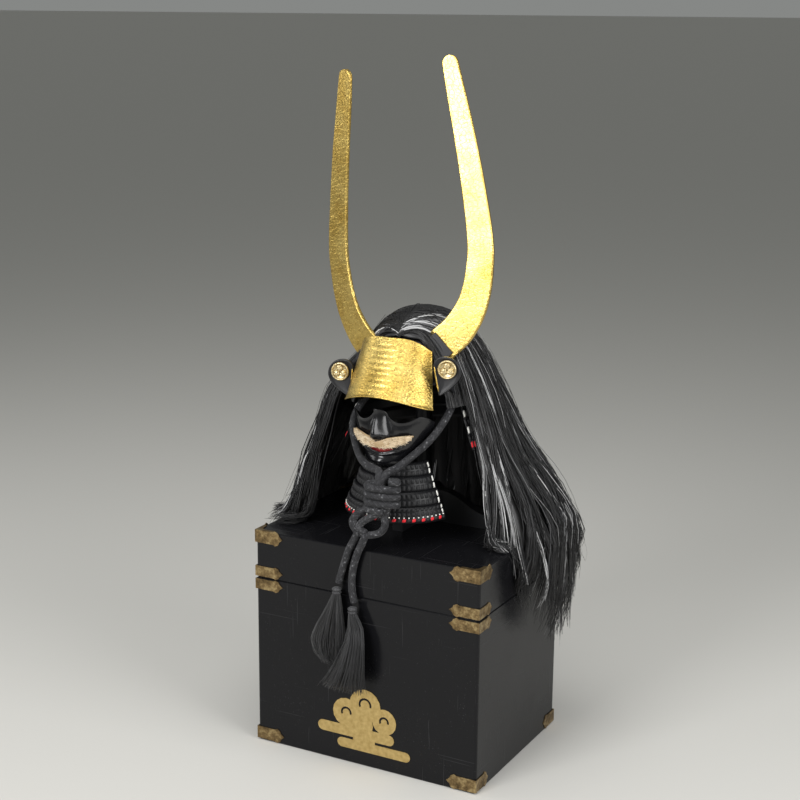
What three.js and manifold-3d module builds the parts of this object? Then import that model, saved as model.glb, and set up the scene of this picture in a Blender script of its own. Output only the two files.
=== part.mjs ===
// A samurai helmet (kabuto) with tall horns, a face guard and a long hair cover, shown on its
// wooden stand on top of its lacquered storage chest. Millimetres, +Z up, front towards -Y,
// origin in the middle of the chest's underside.
import * as THREE from "three";
import { mergeVertices } from "three/addons/utils/BufferGeometryUtils.js";
import Module from "manifold-3d";

const wasm = await Module();
wasm.setup();

// ---- Driving dimensions ----------------------------------------------------------------------

const GAP = 0.3; // clearance between touching pieces
const CHEST = { width: 440, depth: 331, height: 400, seam: 313, wall: 12, corner: 4, bevel: 1.5 };
const FRONT = -CHEST.depth / 2; // front face of the chest
const LID = CHEST.height; // top of the closed lid

const FITTING = { thick: 1.2, frontLeaf: 57, sideLeaf: 48, corner: 23, rim: 19, rimInset: 2.5, lip: 9 };
const ORNAMENT = { x: 0, z: 82, thick: 0.9 };

const STAND = { y: 50, reach: 131, depthReach: 96, height: 60, tip: 26, board: 20, post: 15 };

// The helmet leans a little to one side on its stand, about the middle of its rim.
const HELMET = { x: 5, y: 38, z: 668, lean: -3.5 };
const BOWL = { halfWidth: 96, halfDepth: 111, height: 115, wall: 2.5 };
const GUARD = { lames: 4, hemWidth: 150, hemDepth: 162, drop: 110, overlap: 5, wall: 2, step: 2.6, from: 62 };
const BROW = {
  bottomWidth: 85, topWidth: 68, bottomFront: -175, topFront: -111, bottomBack: 50, topBack: 30,
  bottomUp: -5, topUp: 86, bottomDrop: 23, topDrop: 24, bottomAside: -2, topAside: -10, wall: 2,
  wrap: 76, lean: 3,
};
const TURNBACK = { out: 105, front: -112, up: 29, head: 22, tail: 45, thick: 7, seat: 7, turn: 12 };
const MEDALLION = { radius: 16.5, thick: 3.5, petal: 5.6, petalRing: 6.3 };
const HORN = { front: -58, thick: 7.5, web: 6, root: 14 };
const SOCKET = { along: 30, across: 46, cheek: 4 };

const MASK = { x: 5, axis: -45, wall: 2, spread: 82 };
const THROAT = {
  x: 7, axis: -45, lames: 4, top: 547, pitch: 24.5, height: 28, wall: 2, spread: 78,
  topWidth: 60, bottomWidth: 92, topFront: 66, bottomFront: 88,
};
const MOUTH = { z: 571, halfWidth: 27, halfHeight: 6 };

const CORD = { radius: 6.5, sides: 8 };
const KNOT = { x: 32, y: -160, top: 534, wraps: 4, halfWidth: 35, halfDepth: 17 };
const TASSEL = { collar: 10, neck: 6.5, depth: 9 };

const HAIR = { inner: 5.8, outer: 12, strip: 13, stripThick: 7 };

// The horn's board from root to tip: height above the rim, distance from the middle plane, width.
const HORN_SECTIONS = [
  { up: 62, out: 74, width: 60 },
  { up: 84, out: 98, width: 59 },
  { up: 116, out: 119, width: 55 },
  { up: 150, out: 131, width: 51 },
  { up: 190, out: 137, width: 48 },
  { up: 235, out: 138, width: 46 },
  { up: 310, out: 128, width: 42 },
  { up: 400, out: 112, width: 38 },
  { up: 480, out: 95, width: 33 },
  { up: 532, out: 84, width: 28 },
];

// The face guard from chin to nose bridge: height, half width, how far its front stands out from
// the axis, how far the nose stands out from that, and the nose's half width.
const MASK_SECTIONS = [
  { z: 533, half: 30, front: 64, nose: 0, noseHalf: 10 },
  { z: 541, half: 41, front: 80, nose: 0, noseHalf: 10 },
  { z: 550, half: 48, front: 83, nose: 0, noseHalf: 10 },
  { z: 560, half: 55, front: 76, nose: 0, noseHalf: 10 },
  { z: 566, half: 58, front: 80, nose: 0, noseHalf: 12 },
  { z: 576, half: 63, front: 80, nose: 0, noseHalf: 14 },
  { z: 586, half: 68, front: 78, nose: 4, noseHalf: 15 },
  { z: 592, half: 70, front: 77, nose: 27, noseHalf: 15 },
  { z: 600, half: 73, front: 77, nose: 28, noseHalf: 13 },
  { z: 612, half: 77, front: 77, nose: 24, noseHalf: 9 },
  { z: 626, half: 79, front: 74, nose: 21, noseHalf: 7 },
  { z: 645, half: 79, front: 71, nose: 24, noseHalf: 6 },
];

// The face guard's upper and lower edges, by the angle round from the middle of the face.
const MASK_EDGES = [
  { angle: 0, top: 645, bottom: 533 },
  { angle: 6, top: 641, bottom: 533 },
  { angle: 12, top: 625, bottom: 534 },
  { angle: 24, top: 617, bottom: 537 },
  { angle: 38, top: 619, bottom: 545 },
  { angle: 52, top: 628, bottom: 556 },
  { angle: 66, top: 624, bottom: 567 },
  { angle: 82, top: 612, bottom: 580 },
];

// The hair round the head: direction from the front, turning to the viewer's right; distance from
// the head's axis at the brow, at the neck guard's hem, at the lid and at its ends; and the height of
// its ends.
const HAIR_LOCKS = [
  { turn: 66, brow: 136, neck: 168, lid: 205, end: 222, hem: 404 },
  { turn: 75, brow: 136, neck: 171, lid: 238, end: 232, hem: 318 },
  { turn: 84, brow: 136, neck: 173, lid: 250, end: 246, hem: 262 },
  { turn: 93, brow: 136, neck: 172, lid: 262, end: 250, hem: 216 },
  { turn: 102, brow: 136, neck: 174, lid: 262, end: 252, hem: 198 },
  { turn: 111, brow: 138, neck: 176, lid: 266, end: 270, hem: 300 },
  { turn: 120, brow: 138, neck: 176, lid: 268, end: 276, hem: 342 },
  { turn: 130, brow: 140, neck: 177, lid: 256, end: 262, hem: 352 },
  { turn: 141, brow: 142, neck: 178, lid: 240, end: 244, hem: 300 },
  { turn: 152, brow: 144, neck: 179, lid: 226, end: 228, hem: 272 },
  { turn: 163, brow: 145, neck: 180, lid: 216, end: 218, hem: 290 },
  { turn: 174, brow: 145, neck: 180, lid: 210, end: 214, hem: 262 },
  { turn: 185, brow: 145, neck: 180, lid: 210, end: 216, hem: 284 },
  { turn: 196, brow: 145, neck: 180, lid: 214, end: 220, hem: 266 },
  { turn: 207, brow: 144, neck: 180, lid: 226, end: 230, hem: 296 },
  { turn: 218, brow: 144, neck: 180, lid: 238, end: 246, hem: 320 },
  { turn: 229, brow: 146, neck: 181, lid: 256, end: 262, hem: 340 },
  { turn: 240, brow: 148, neck: 182, lid: 274, end: 276, hem: 356 },
  { turn: 251, brow: 150, neck: 182, lid: 250, end: 256, hem: 330 },
  { turn: 262, brow: 152, neck: 183, lid: 246, end: 252, hem: 344 },
  { turn: 273, brow: 155, neck: 184, lid: 244, end: 248, hem: 366 },
  { turn: 283, brow: 160, neck: 186, lid: 236, end: 262, hem: 404 },
  { turn: 291, brow: 163, neck: 188, lid: 236, end: 268, hem: 404 },
  { turn: 299, brow: 163, neck: 188, lid: 234, end: 272, hem: 404 },
  { turn: 306, brow: 154, neck: 176, lid: 206, end: 262, hem: 404 },
];

// Routes of the chin cord, chosen by hand: each side from the helmet's rim to the knot, and each
// free end from the knot to its tassel.
const CORD_ROUTES = {
  chin_cord_right: [
    [86, 14, 656], [91, -12, 641], [92, -38, 622], [88, -60, 603], [83, -77, 590], [74, -88, 577],
    [60, -99, 562], [48, -115, 549], [43, -132, 543], [40, -150, 541],
  ],
  chin_cord_left: [
    [-74, 14, 646], [-81, -12, 631], [-85, -38, 613], [-82, -60, 596], [-72, -78, 578],
    [-59, -92, 562], [-41, -110, 549], [-21, -127, 542], [2, -141, 541], [20, -152, 541],
  ],
  cord_end_left: [
    [-6, -173, 436], [-14, -174, 420], [-23, -175, 402], [-31, -175, 380], [-38, -175, 358],
    [-44, -176, 336],
  ],
  cord_end_right: [
    [8, -173, 433], [2, -175, 416], [-7, -175, 396], [-14, -175, 374], [-18, -175, 350],
    [-17, -176, 328], [-12, -177, 306],
  ],
};

// Each tassel's skirt of threads below its collar: how far down, how far its middle lies aside and
// behind, and its half width. The left one is folded over on itself; the right one fans out over it.
const TASSEL_SKIRTS = {
  tassel_left: [
    { down: 26, aside: -5, behind: 1, half: 17 },
    { down: 62, aside: -14, behind: 3, half: 30 },
    { down: 92, aside: -20, behind: 4, half: 38 },
    { down: 116, aside: -18, behind: 4, half: 32 },
    { down: 132, aside: -12, behind: 4, half: 18 },
  ],
  tassel_right: [
    { down: 26, aside: 6, behind: 0, half: 17 },
    { down: 55, aside: 8, behind: -9, half: 22 },
    { down: 90, aside: 2, behind: -15, half: 30 },
    { down: 122, aside: -8, behind: -15, half: 39 },
    { down: 142, aside: -17, behind: -9, half: 48 },
  ],
};

// ---- Materials -------------------------------------------------------------------------------

function finish(color, roughness, metalness = 0) {
  return new THREE.MeshStandardMaterial({ color, roughness, metalness });
}

const FINISH = {
  lacquer: finish(0x101012, 0.2),
  brass: finish(0x7a6440, 0.45, 0.9),
  gold: finish(0xc9a13c, 0.3, 1),
  paint: finish(0xc8a650, 0.55),
  wood: finish(0x15161a, 0.4),
  satin: finish(0x1b1c20, 0.45),
  mask: finish(0x0c0c0e, 0.15),
  bristle: finish(0xd8bd84, 0.8),
  lacing: finish(0x161618, 0.8),
  cord: finish(0x2c2c30, 0.8),
  hair: finish(0x1a1a1d, 0.6),
  medallion: finish(0xd7c08c, 0.35, 0.7),
};

// ---- Making solids ---------------------------------------------------------------------------

// A closed surface from triangles, turned to face outwards whatever way round it was made.
function closedSurface(points, triangles) {
  let volume = 0;
  for (const [a, b, c] of triangles) {
    volume += points[a].dot(new THREE.Vector3().crossVectors(points[b], points[c]));
  }
  const outward = volume < 0 ? triangles.map(([a, b, c]) => [a, c, b]) : triangles;
  const geometry = new THREE.BufferGeometry().setFromPoints(points);
  geometry.setIndex(outward.flat());
  return geometry;
}

function outwardFacing(geometry) {
  const merged = merge(geometry);
  const place = merged.getAttribute("position");
  const points = [];
  for (let i = 0; i < place.count; i += 1) points.push(new THREE.Vector3().fromBufferAttribute(place, i));
  const triangles = [];
  for (let i = 0; i < merged.index.count; i += 3) {
    triangles.push([merged.index.getX(i), merged.index.getX(i + 1), merged.index.getX(i + 2)]);
  }
  return closedSurface(points, triangles);
}

function merge(geometry) {
  const bare = geometry.clone();
  bare.deleteAttribute("normal");
  bare.deleteAttribute("uv");
  return mergeVertices(bare, 1e-4);
}

function toSolid(geometry) {
  const merged = merge(geometry);
  return new wasm.Manifold(
    new wasm.Mesh({
      numProp: 3,
      vertProperties: merged.attributes.position.array,
      triVerts: new Uint32Array(merged.index.array),
    }),
  );
}

function toGeometry(solid) {
  const mesh = solid.getMesh();
  const geometry = new THREE.BufferGeometry();
  geometry.setAttribute("position", new THREE.BufferAttribute(mesh.vertProperties, 3));
  geometry.setIndex(new THREE.BufferAttribute(mesh.triVerts, 1));
  return geometry;
}

function join(geometries) {
  return toGeometry(geometries.map(toSolid).reduce((whole, piece) => whole.add(piece)));
}

function cut(geometry, tools) {
  return toGeometry(tools.map(toSolid).reduce((whole, tool) => whole.subtract(tool), toSolid(geometry)));
}

// A skin of even thickness under a surface point(u, v), with u and v from 0 to 1. A round skin
// closes on itself in u.
function skin(point, columns, rows, thick, round = false) {
  const step = 1e-3;
  const outer = [];
  const inner = [];
  const width = round ? columns : columns + 1;
  for (let j = 0; j <= rows; j += 1) {
    for (let i = 0; i < width; i += 1) {
      const u = i / columns;
      const v = j / rows;
      const here = point(u, v);
      const along = point(Math.min(u + step, 1), v).sub(point(Math.max(u - step, 0), v));
      const up = point(u, Math.min(v + step, 1)).sub(point(u, Math.max(v - step, 0)));
      const normal = along.cross(up).normalize();
      outer.push(here);
      inner.push(here.clone().addScaledVector(normal, -thick));
    }
  }
  const count = outer.length;
  const triangles = [];
  const quad = (a, b, c, d) => triangles.push([a, b, c], [a, c, d]);
  for (let j = 0; j < rows; j += 1) {
    for (let i = 0; i < columns; i += 1) {
      const a = j * width + i;
      const b = j * width + ((i + 1) % width);
      quad(a, b, b + width, a + width);
      quad(count + a, count + a + width, count + b + width, count + b);
    }
  }
  for (let i = 0; i < columns; i += 1) {
    const next = (i + 1) % width;
    const last = rows * width;
    quad(i, count + i, count + next, next);
    quad(last + i, last + next, count + last + next, count + last + i);
  }
  for (let j = 0; j < rows && !round; j += 1) {
    const left = j * width;
    const right = left + columns;
    quad(left, left + width, count + left + width, count + left);
    quad(right, count + right, count + right + width, right + width);
  }
  return closedSurface([...outer, ...inner], triangles);
}

// A solid through rings of points, each ring with the same number of points.
function loft(rings) {
  const sides = rings[0].length;
  const points = rings.flat();
  const triangles = [];
  for (let j = 0; j < rings.length - 1; j += 1) {
    for (let i = 0; i < sides; i += 1) {
      const a = j * sides + i;
      const b = j * sides + ((i + 1) % sides);
      triangles.push([a, b, b + sides], [a, b + sides, a + sides]);
    }
  }
  const last = (rings.length - 1) * sides;
  for (let i = 1; i < sides - 1; i += 1) {
    triangles.push([0, i + 1, i], [last, last + i, last + i + 1]);
  }
  return closedSurface(points, triangles);
}

// A strip of flattened oval section along a curve, tapering to its ends.
function strip(curve, steps, sides, halfWidthAt, halfThickAt, outwardAt) {
  const rings = [];
  for (let j = 0; j <= steps; j += 1) {
    const t = j / steps;
    const middle = curve.getPointAt(t);
    const along = curve.getTangentAt(t);
    const across = new THREE.Vector3().crossVectors(along, outwardAt(middle)).normalize();
    const out = new THREE.Vector3().crossVectors(across, along).normalize();
    const ring = [];
    for (let i = 0; i < sides; i += 1) {
      const angle = (2 * Math.PI * i) / sides;
      ring.push(
        middle.clone()
          .addScaledVector(across, halfWidthAt(t) * Math.cos(angle))
          .addScaledVector(out, halfThickAt(t) * Math.sin(angle)),
      );
    }
    rings.push(ring);
  }
  return loft(rings);
}

function polygon(radius, sides) {
  const corners = [];
  for (let i = 0; i < sides; i += 1) {
    const angle = (2 * Math.PI * i) / sides;
    corners.push(new THREE.Vector2(radius * Math.cos(angle), radius * Math.sin(angle)));
  }
  return new THREE.Shape(corners);
}

function vectors(rows) {
  return rows.map((row) => new THREE.Vector3(...row));
}

function tube(route, radius, sides, steps) {
  const path = new THREE.CatmullRomCurve3(vectors(route));
  return new THREE.ExtrudeGeometry(polygon(radius, sides), { steps, extrudePath: path, bevelEnabled: false });
}

function box(from, to) {
  const geometry = new THREE.BoxGeometry(to[0] - from[0], to[1] - from[1], to[2] - from[2]);
  return geometry.translate((from[0] + to[0]) / 2, (from[1] + to[1]) / 2, (from[2] + to[2]) / 2);
}

// A plate of a given outline drawn in X and Z, standing with its front at y = 0.
function plate(shape, thick, curveSegments = 4) {
  const flat = new THREE.ExtrudeGeometry(shape, { depth: thick, bevelEnabled: false, curveSegments });
  return flat.rotateX(Math.PI / 2);
}

// Straight-line reading of a table, by a column that rises from row to row.
function readTable(table, key, value, column) {
  if (value <= table[0][key]) return table[0][column];
  for (let i = 1; i < table.length; i += 1) {
    if (value <= table[i][key]) {
      const share = (value - table[i - 1][key]) / (table[i][key] - table[i - 1][key]);
      return table[i - 1][column] + share * (table[i][column] - table[i - 1][column]);
    }
  }
  return table[table.length - 1][column];
}

const root = new THREE.Group();

function add(group, name, geometry, material) {
  const mesh = new THREE.Mesh(geometry, material.clone());
  mesh.name = name;
  group.add(mesh);
  return mesh;
}

// ---- Storage chest ---------------------------------------------------------------------------

// One half of the chest, open on one side: an outer block with rounded corners, hollowed out.
function chestHalf(low, high, hollowLow, hollowHigh) {
  const { width, depth, corner, bevel, wall } = CHEST;
  const halfX = width / 2 - bevel;
  const halfY = depth / 2 - bevel;
  const outline = new THREE.Shape();
  outline.absarc(halfX - corner, halfY - corner, corner, 0, Math.PI / 2);
  outline.absarc(corner - halfX, halfY - corner, corner, Math.PI / 2, Math.PI);
  outline.absarc(corner - halfX, corner - halfY, corner, Math.PI, 1.5 * Math.PI);
  outline.absarc(halfX - corner, corner - halfY, corner, 1.5 * Math.PI, 2 * Math.PI);
  const block = new THREE.ExtrudeGeometry(outline, {
    depth: high - low - 2 * bevel,
    bevelSize: bevel,
    bevelThickness: bevel,
    bevelSegments: 1,
    curveSegments: 2,
  });
  block.translate(0, 0, low + bevel);
  const insideX = width / 2 - wall;
  const insideY = depth / 2 - wall;
  return cut(block, [box([-insideX, -insideY, hollowLow], [insideX, insideY, hollowHigh])]);
}

function addChest() {
  const { seam, wall } = CHEST;
  add(root, "chest_body", chestHalf(0, seam, wall, seam + 1), FINISH.lacquer);
  add(root, "chest_lid", chestHalf(seam + GAP, LID, seam - 1, LID - wall), FINISH.lacquer);
}

// Outline of one brass leaf: straight by the corner, with a cusped three-lobed end.
function leafOutline(length, height) {
  const outline = new THREE.Shape();
  outline.moveTo(0, 0);
  for (const [along, up] of [
    [0.66, 0], [0.74, -0.1], [0.85, 0.04], [0.89, 0.27], [1, 0.5], [0.89, 0.73], [0.85, 0.96],
    [0.74, 1.1], [0.66, 1], [0, 1],
  ]) {
    outline.lineTo(along * length, up * height);
  }
  return outline;
}

// A corner fitting: two leaves bent round the corner's upright edge, at x = 0, y = 0, running to
// -X and +Y, and for the lid's upper corners a narrow lip on top.
function cornerFitting(height, lip) {
  const { thick, frontLeaf, sideLeaf } = FITTING;
  const skinOut = GAP + thick;
  const front = plate(leafOutline(frontLeaf, height), thick).rotateZ(Math.PI);
  front.translate(skinOut, -skinOut, 0);
  const side = plate(leafOutline(sideLeaf, height), thick).rotateZ(Math.PI / 2);
  side.translate(skinOut - thick, -skinOut, 0);
  const pieces = [front, side];
  if (lip) {
    const along = frontLeaf * 0.62;
    const across = sideLeaf * 0.62;
    const edge = new THREE.Shape();
    edge.moveTo(skinOut, -skinOut);
    edge.lineTo(skinOut, across);
    edge.lineTo(-FITTING.lip * 0.6, across * 0.9);
    edge.quadraticCurveTo(-FITTING.lip * 0.6, FITTING.lip, -FITTING.lip * 1.4, FITTING.lip * 0.7);
    edge.lineTo(-along, FITTING.lip * 0.7);
    edge.lineTo(-along * 1.12, -skinOut);
    const top = new THREE.ExtrudeGeometry(edge, { depth: thick, bevelEnabled: false, curveSegments: 3 });
    pieces.push(top.translate(0, 0, height - thick));
  }
  return join(pieces);
}

function addFittings() {
  const { corner, rim, rimInset, thick } = FITTING;
  const levels = [
    { name: "lid_corner", z: LID + GAP + thick - corner, height: corner, lip: true },
    { name: "lid_rim", z: CHEST.seam + GAP + rimInset, height: rim, lip: false },
    { name: "body_rim", z: CHEST.seam - rimInset - rim, height: rim, lip: false },
    { name: "body_foot", z: 3, height: corner, lip: false },
  ];
  const corners = [
    { name: "front_right", sx: 1, sy: 1 },
    { name: "front_left", sx: -1, sy: 1 },
    { name: "back_right", sx: 1, sy: -1 },
    { name: "back_left", sx: -1, sy: -1 },
  ];
  for (const level of levels) {
    const fitting = cornerFitting(level.height, level.lip);
    for (const { name, sx, sy } of corners) {
      const turned = outwardFacing(fitting.clone().scale(sx, sy, 1));
      const mesh = add(root, `${level.name}_${name}`, turned, FINISH.brass);
      mesh.position.set((sx * CHEST.width) / 2, (-sy * CHEST.depth) / 2, level.z);
    }
  }
}

// The gilt ornament on the chest's front: a plain auspicious cloud, puffs over a long trailing bar.
function addOrnament() {
  const puffs = [
    { x: -34, z: 12, radius: 27 },
    { x: 4, z: 32, radius: 31 },
    { x: 42, z: 10, radius: 24 },
    { x: -4, z: -4, radius: 24 },
  ];
  const bars = [
    { from: -92, to: 62, z: -22, half: 10 },
    { from: -52, to: 94, z: -46, half: 9 },
  ];
  const curls = [
    { x: -34, z: 12, radius: 11 },
    { x: 4, z: 34, radius: 13 },
    { x: 42, z: 10, radius: 10 },
  ];
  const disc = (x, z, radius, sides) => {
    const shape = polygon(radius, sides);
    return plate(shape, ORNAMENT.thick).translate(x, 0, z);
  };
  const pieces = puffs.map(({ x, z, radius }) => disc(x, z, radius, 16));
  for (const { from, to, z, half } of bars) {
    const outline = new THREE.Shape();
    outline.absarc(to - half, z, half, -Math.PI / 2, Math.PI / 2);
    outline.absarc(from + half, z, half, Math.PI / 2, 1.5 * Math.PI);
    pieces.push(plate(outline, ORNAMENT.thick));
  }
  pieces.push(plate(new THREE.Shape([[-20, -40], [24, -40], [24, -28], [-20, -28]].map(
    ([x, z]) => new THREE.Vector2(x, z),
  )), ORNAMENT.thick));
  const slots = curls.map(({ x, z, radius }) => {
    const curl = new THREE.Shape();
    curl.absarc(x, z, radius, -0.3, 1.15 * Math.PI);
    curl.absarc(x, z, radius - 4, 1.15 * Math.PI, -0.3, true);
    const slot = new THREE.ExtrudeGeometry(curl, { depth: 4, bevelEnabled: false, curveSegments: 6 });
    return slot.rotateX(Math.PI / 2).translate(0, 2, 0);
  });
  const cloud = cut(join(pieces), slots);
  const mesh = add(root, "chest_ornament", cloud, FINISH.paint);
  mesh.position.set(ORNAMENT.x, FRONT - GAP, ORNAMENT.z);
}

// ---- Wooden stand ----------------------------------------------------------------------------

// One foot board: flat underneath, highest in the middle, with an ogee down to each blunt end.
function footBoard(reach) {
  const { height, tip, board } = STAND;
  const flat = 34;
  const outline = new THREE.Shape();
  outline.moveTo(-reach, 0);
  outline.lineTo(reach, 0);
  outline.lineTo(reach, tip * 0.5);
  outline.quadraticCurveTo(reach, tip, reach - 14, tip + 2);
  outline.bezierCurveTo(reach * 0.7, tip + 10, reach * 0.55, height, flat, height);
  outline.lineTo(-flat, height);
  outline.bezierCurveTo(-reach * 0.55, height, -reach * 0.7, tip + 10, 14 - reach, tip + 2);
  outline.quadraticCurveTo(-reach, tip, -reach, tip * 0.5);
  return plate(outline, board, 5).translate(0, board / 2, 0);
}

function addStand() {
  const { y, reach, depthReach, height, post } = STAND;
  const foot = join([footBoard(reach), footBoard(depthReach).rotateZ(Math.PI / 2)]);
  add(root, "stand_foot", foot, FINISH.wood).position.set(0, y, LID + GAP);
  const low = LID + height + 2 * GAP;
  const high = HELMET.z + 93;
  const rod = new THREE.CylinderGeometry(post, post, high - low, 16).rotateX(Math.PI / 2);
  add(root, "stand_post", rod, FINISH.wood).position.set(0, y, (low + high) / 2);
  const arm = box([-6, MASK.axis - 70, -5], [6, y - post - GAP, 5]);
  add(root, "mask_bracket", arm, FINISH.wood).position.set(0, 0, 556);
}

// ---- Helmet ----------------------------------------------------------------------------------

const helmet = new THREE.Group();
helmet.position.set(HELMET.x, HELMET.y, HELMET.z);
helmet.rotation.y = THREE.MathUtils.degToRad(HELMET.lean);
helmet.updateMatrixWorld(true);
root.add(helmet);

// A dome with the bowl's form, lifted off it by a distance, closed by a flat underside.
function dome(lift, underside = 0, columns = 24, rows = 7) {
  const deep = Math.acos(underside / (BOWL.height + lift));
  const profile = [];
  for (let j = 0; j <= rows; j += 1) {
    const angle = (deep * j) / rows;
    profile.push(new THREE.Vector2(Math.sin(angle), Math.cos(angle)));
  }
  profile.push(new THREE.Vector2(0, Math.cos(deep)));
  const unit = new THREE.LatheGeometry(profile, columns).rotateX(Math.PI / 2);
  unit.scale(BOWL.halfWidth + lift, BOWL.halfDepth + lift, BOWL.height + lift);
  return outwardFacing(unit);
}

function addBowl() {
  const hollow = dome(-BOWL.wall).translate(0, 0, -0.01);
  add(helmet, "helmet_bowl", cut(dome(0), [hollow]), FINISH.lacquer);
  add(helmet, "stand_head", dome(-BOWL.wall - 5 * GAP, 95, 20, 4), FINISH.wood);
}

// A point on the helmet's cover, in the helmet's frame: the bowl for down from 0 at the crown to 1
// at the rim, then the flared neck guard to 2 at its hem.
function coverPoint(turn, down, lift) {
  const angle = THREE.MathUtils.degToRad(turn);
  let wide = BOWL.halfWidth + lift;
  let deep = BOWL.halfDepth + lift;
  let up = 0;
  if (down < 1) {
    const fall = (down * Math.PI) / 2;
    wide *= Math.sin(fall);
    deep *= Math.sin(fall);
    up = (BOWL.height + lift) * Math.cos(fall);
  } else {
    wide += (GUARD.hemWidth - BOWL.halfWidth) * (down - 1);
    deep += (GUARD.hemDepth - BOWL.halfDepth) * (down - 1);
    up = -GUARD.drop * (down - 1);
  }
  return new THREE.Vector3(wide * Math.sin(angle), -deep * Math.cos(angle), up);
}

// The neck guard: lames of lacquered plate round the back and sides, each one outside the next.
function addNeckGuard() {
  const { lames, wall, step, overlap, drop, from } = GUARD;
  for (let k = 0; k < lames; k += 1) {
    const top = 1 + (k / lames) + 0.02;
    const bottom = 1 + (k + 1) / lames + overlap / drop;
    const lift = 2.5 - k * step;
    const lame = skin(
      (u, v) => coverPoint(from + u * (360 - 2 * from), bottom + v * (top - bottom), lift),
      22, 1, wall,
    );
    add(helmet, `neck_guard_lame_${k + 1}`, lame, FINISH.lacquer);
  }
}

// The gilt brow plate: a deep curved visor, widest and farthest forward at its lower edge.
function browPoint(u, v) {
  const b = BROW;
  const mix = (low, high) => low + v * (high - low);
  const wrap = THREE.MathUtils.degToRad(b.wrap);
  const angle = (2 * u - 1) * wrap;
  const side = Math.sin(angle) / Math.sin(wrap);
  const back = (1 - Math.cos(angle)) / (1 - Math.cos(wrap));
  return new THREE.Vector3(
    mix(b.bottomAside, b.topAside) + mix(b.bottomWidth, b.topWidth) * side,
    mix(b.bottomFront, b.topFront) + mix(b.bottomBack, b.topBack) * back,
    mix(b.bottomUp - b.bottomDrop * side ** 2, b.topUp - b.topDrop * side ** 4),
  );
}

function addBrowPlate() {
  const mesh = add(helmet, "brow_plate", skin(browPoint, 14, 5, BROW.wall), FINISH.gold);
  mesh.rotation.y = THREE.MathUtils.degToRad(BROW.lean);
}

// A turned-back plate end: round at the top and outside, running down and inwards to a blunt point.
function turnback() {
  const { head, tail, thick } = TURNBACK;
  const outline = new THREE.Shape();
  outline.moveTo(-head - 2, 8);
  outline.bezierCurveTo(-head + 1, head + 6, head - 1, head + 5, head + 1, -4);
  outline.bezierCurveTo(head + 1, -tail * 0.48, head * 0.1, -tail * 0.8, -head * 0.6, -tail);
  outline.quadraticCurveTo(-head * 0.78, -tail - 1.5, -head * 0.8, -tail + 3);
  outline.quadraticCurveTo(-head - 1, -tail * 0.4, -head - 2, 8);
  const flat = new THREE.ExtrudeGeometry(outline, {
    depth: thick - 4, bevelSize: 2, bevelThickness: 2, bevelOffset: -2, bevelSegments: 1, curveSegments: 6,
  });
  return flat.rotateX(Math.PI / 2).translate(0, thick - 2, 0);
}

// A round boss for the turned-back plate: a raised rim round three round petals.
function medallion() {
  const { radius, thick, petal, petalRing } = MEDALLION;
  const profile = [
    [0, 0], [radius, 0], [radius, thick * 0.6], [radius - 1.2, thick], [radius - 2.4, thick * 0.6], [0, thick * 0.6],
  ].map(([x, y]) => new THREE.Vector2(x, y));
  const plain = outwardFacing(new THREE.LatheGeometry(profile, 16));
  const petals = [];
  for (let k = 0; k < 3; k += 1) {
    const angle = Math.PI / 2 + (2 * Math.PI * k) / 3;
    const shape = [[0, 0], [petal, 0], [petal * 0.7, thick * 0.85], [0, thick]].map(([x, y]) => new THREE.Vector2(x, y));
    const boss = outwardFacing(new THREE.LatheGeometry(shape, 8));
    petals.push(boss.translate(petalRing * Math.cos(angle), 0.2, -petalRing * Math.sin(angle)));
  }
  return join([plain, ...petals]).rotateX(Math.PI);
}

// The stem of a turned-back plate, from the plate's back to the front end of the neck guard's top
// lame, both given in the plate's own frame.
function turnbackStem(side, toHolder) {
  const { thick } = TURNBACK;
  const corner = (x, z, y) => new THREE.Vector3(side * x, y, z);
  const frontRing = [corner(-12, -18, thick - 3), corner(-9, -18, thick - 3), corner(-9, 6, thick - 3),
    corner(-12, 6, thick - 3)];
  const turn = side > 0 ? GUARD.from : 360 - GUARD.from;
  const end = (down, lift) => coverPoint(turn - side * 0.6, down, lift).applyMatrix4(toHolder);
  const backRing = [end(1.25, 0.6), end(1.25, 2.4), end(1.06, 2.4), end(1.06, 0.6)];
  return loft([frontRing, backRing]);
}

function addTurnbacks() {
  const { out, front, up, seat, turn } = TURNBACK;
  for (const [name, side] of [["right", 1], ["left", -1]]) {
    const holder = new THREE.Group();
    holder.position.set(side * out, front, up + side * seat);
    holder.rotation.z = THREE.MathUtils.degToRad(turn);
    helmet.add(holder);
    holder.updateMatrix();
    const stem = turnbackStem(side, holder.matrix.clone().invert());
    const plateEnd = join([outwardFacing(turnback().scale(side, 1, 1)), stem]);
    add(holder, `turnback_${name}`, plateEnd, FINISH.satin);
    add(holder, `medallion_${name}`, medallion(), FINISH.medallion).position.set(0, -GAP, 0);
  }
}

// ---- Horns -----------------------------------------------------------------------------------

const hornMiddle = new THREE.CatmullRomCurve3(
  HORN_SECTIONS.map(({ out, up }) => new THREE.Vector3(out, 0, up)),
);

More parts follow.
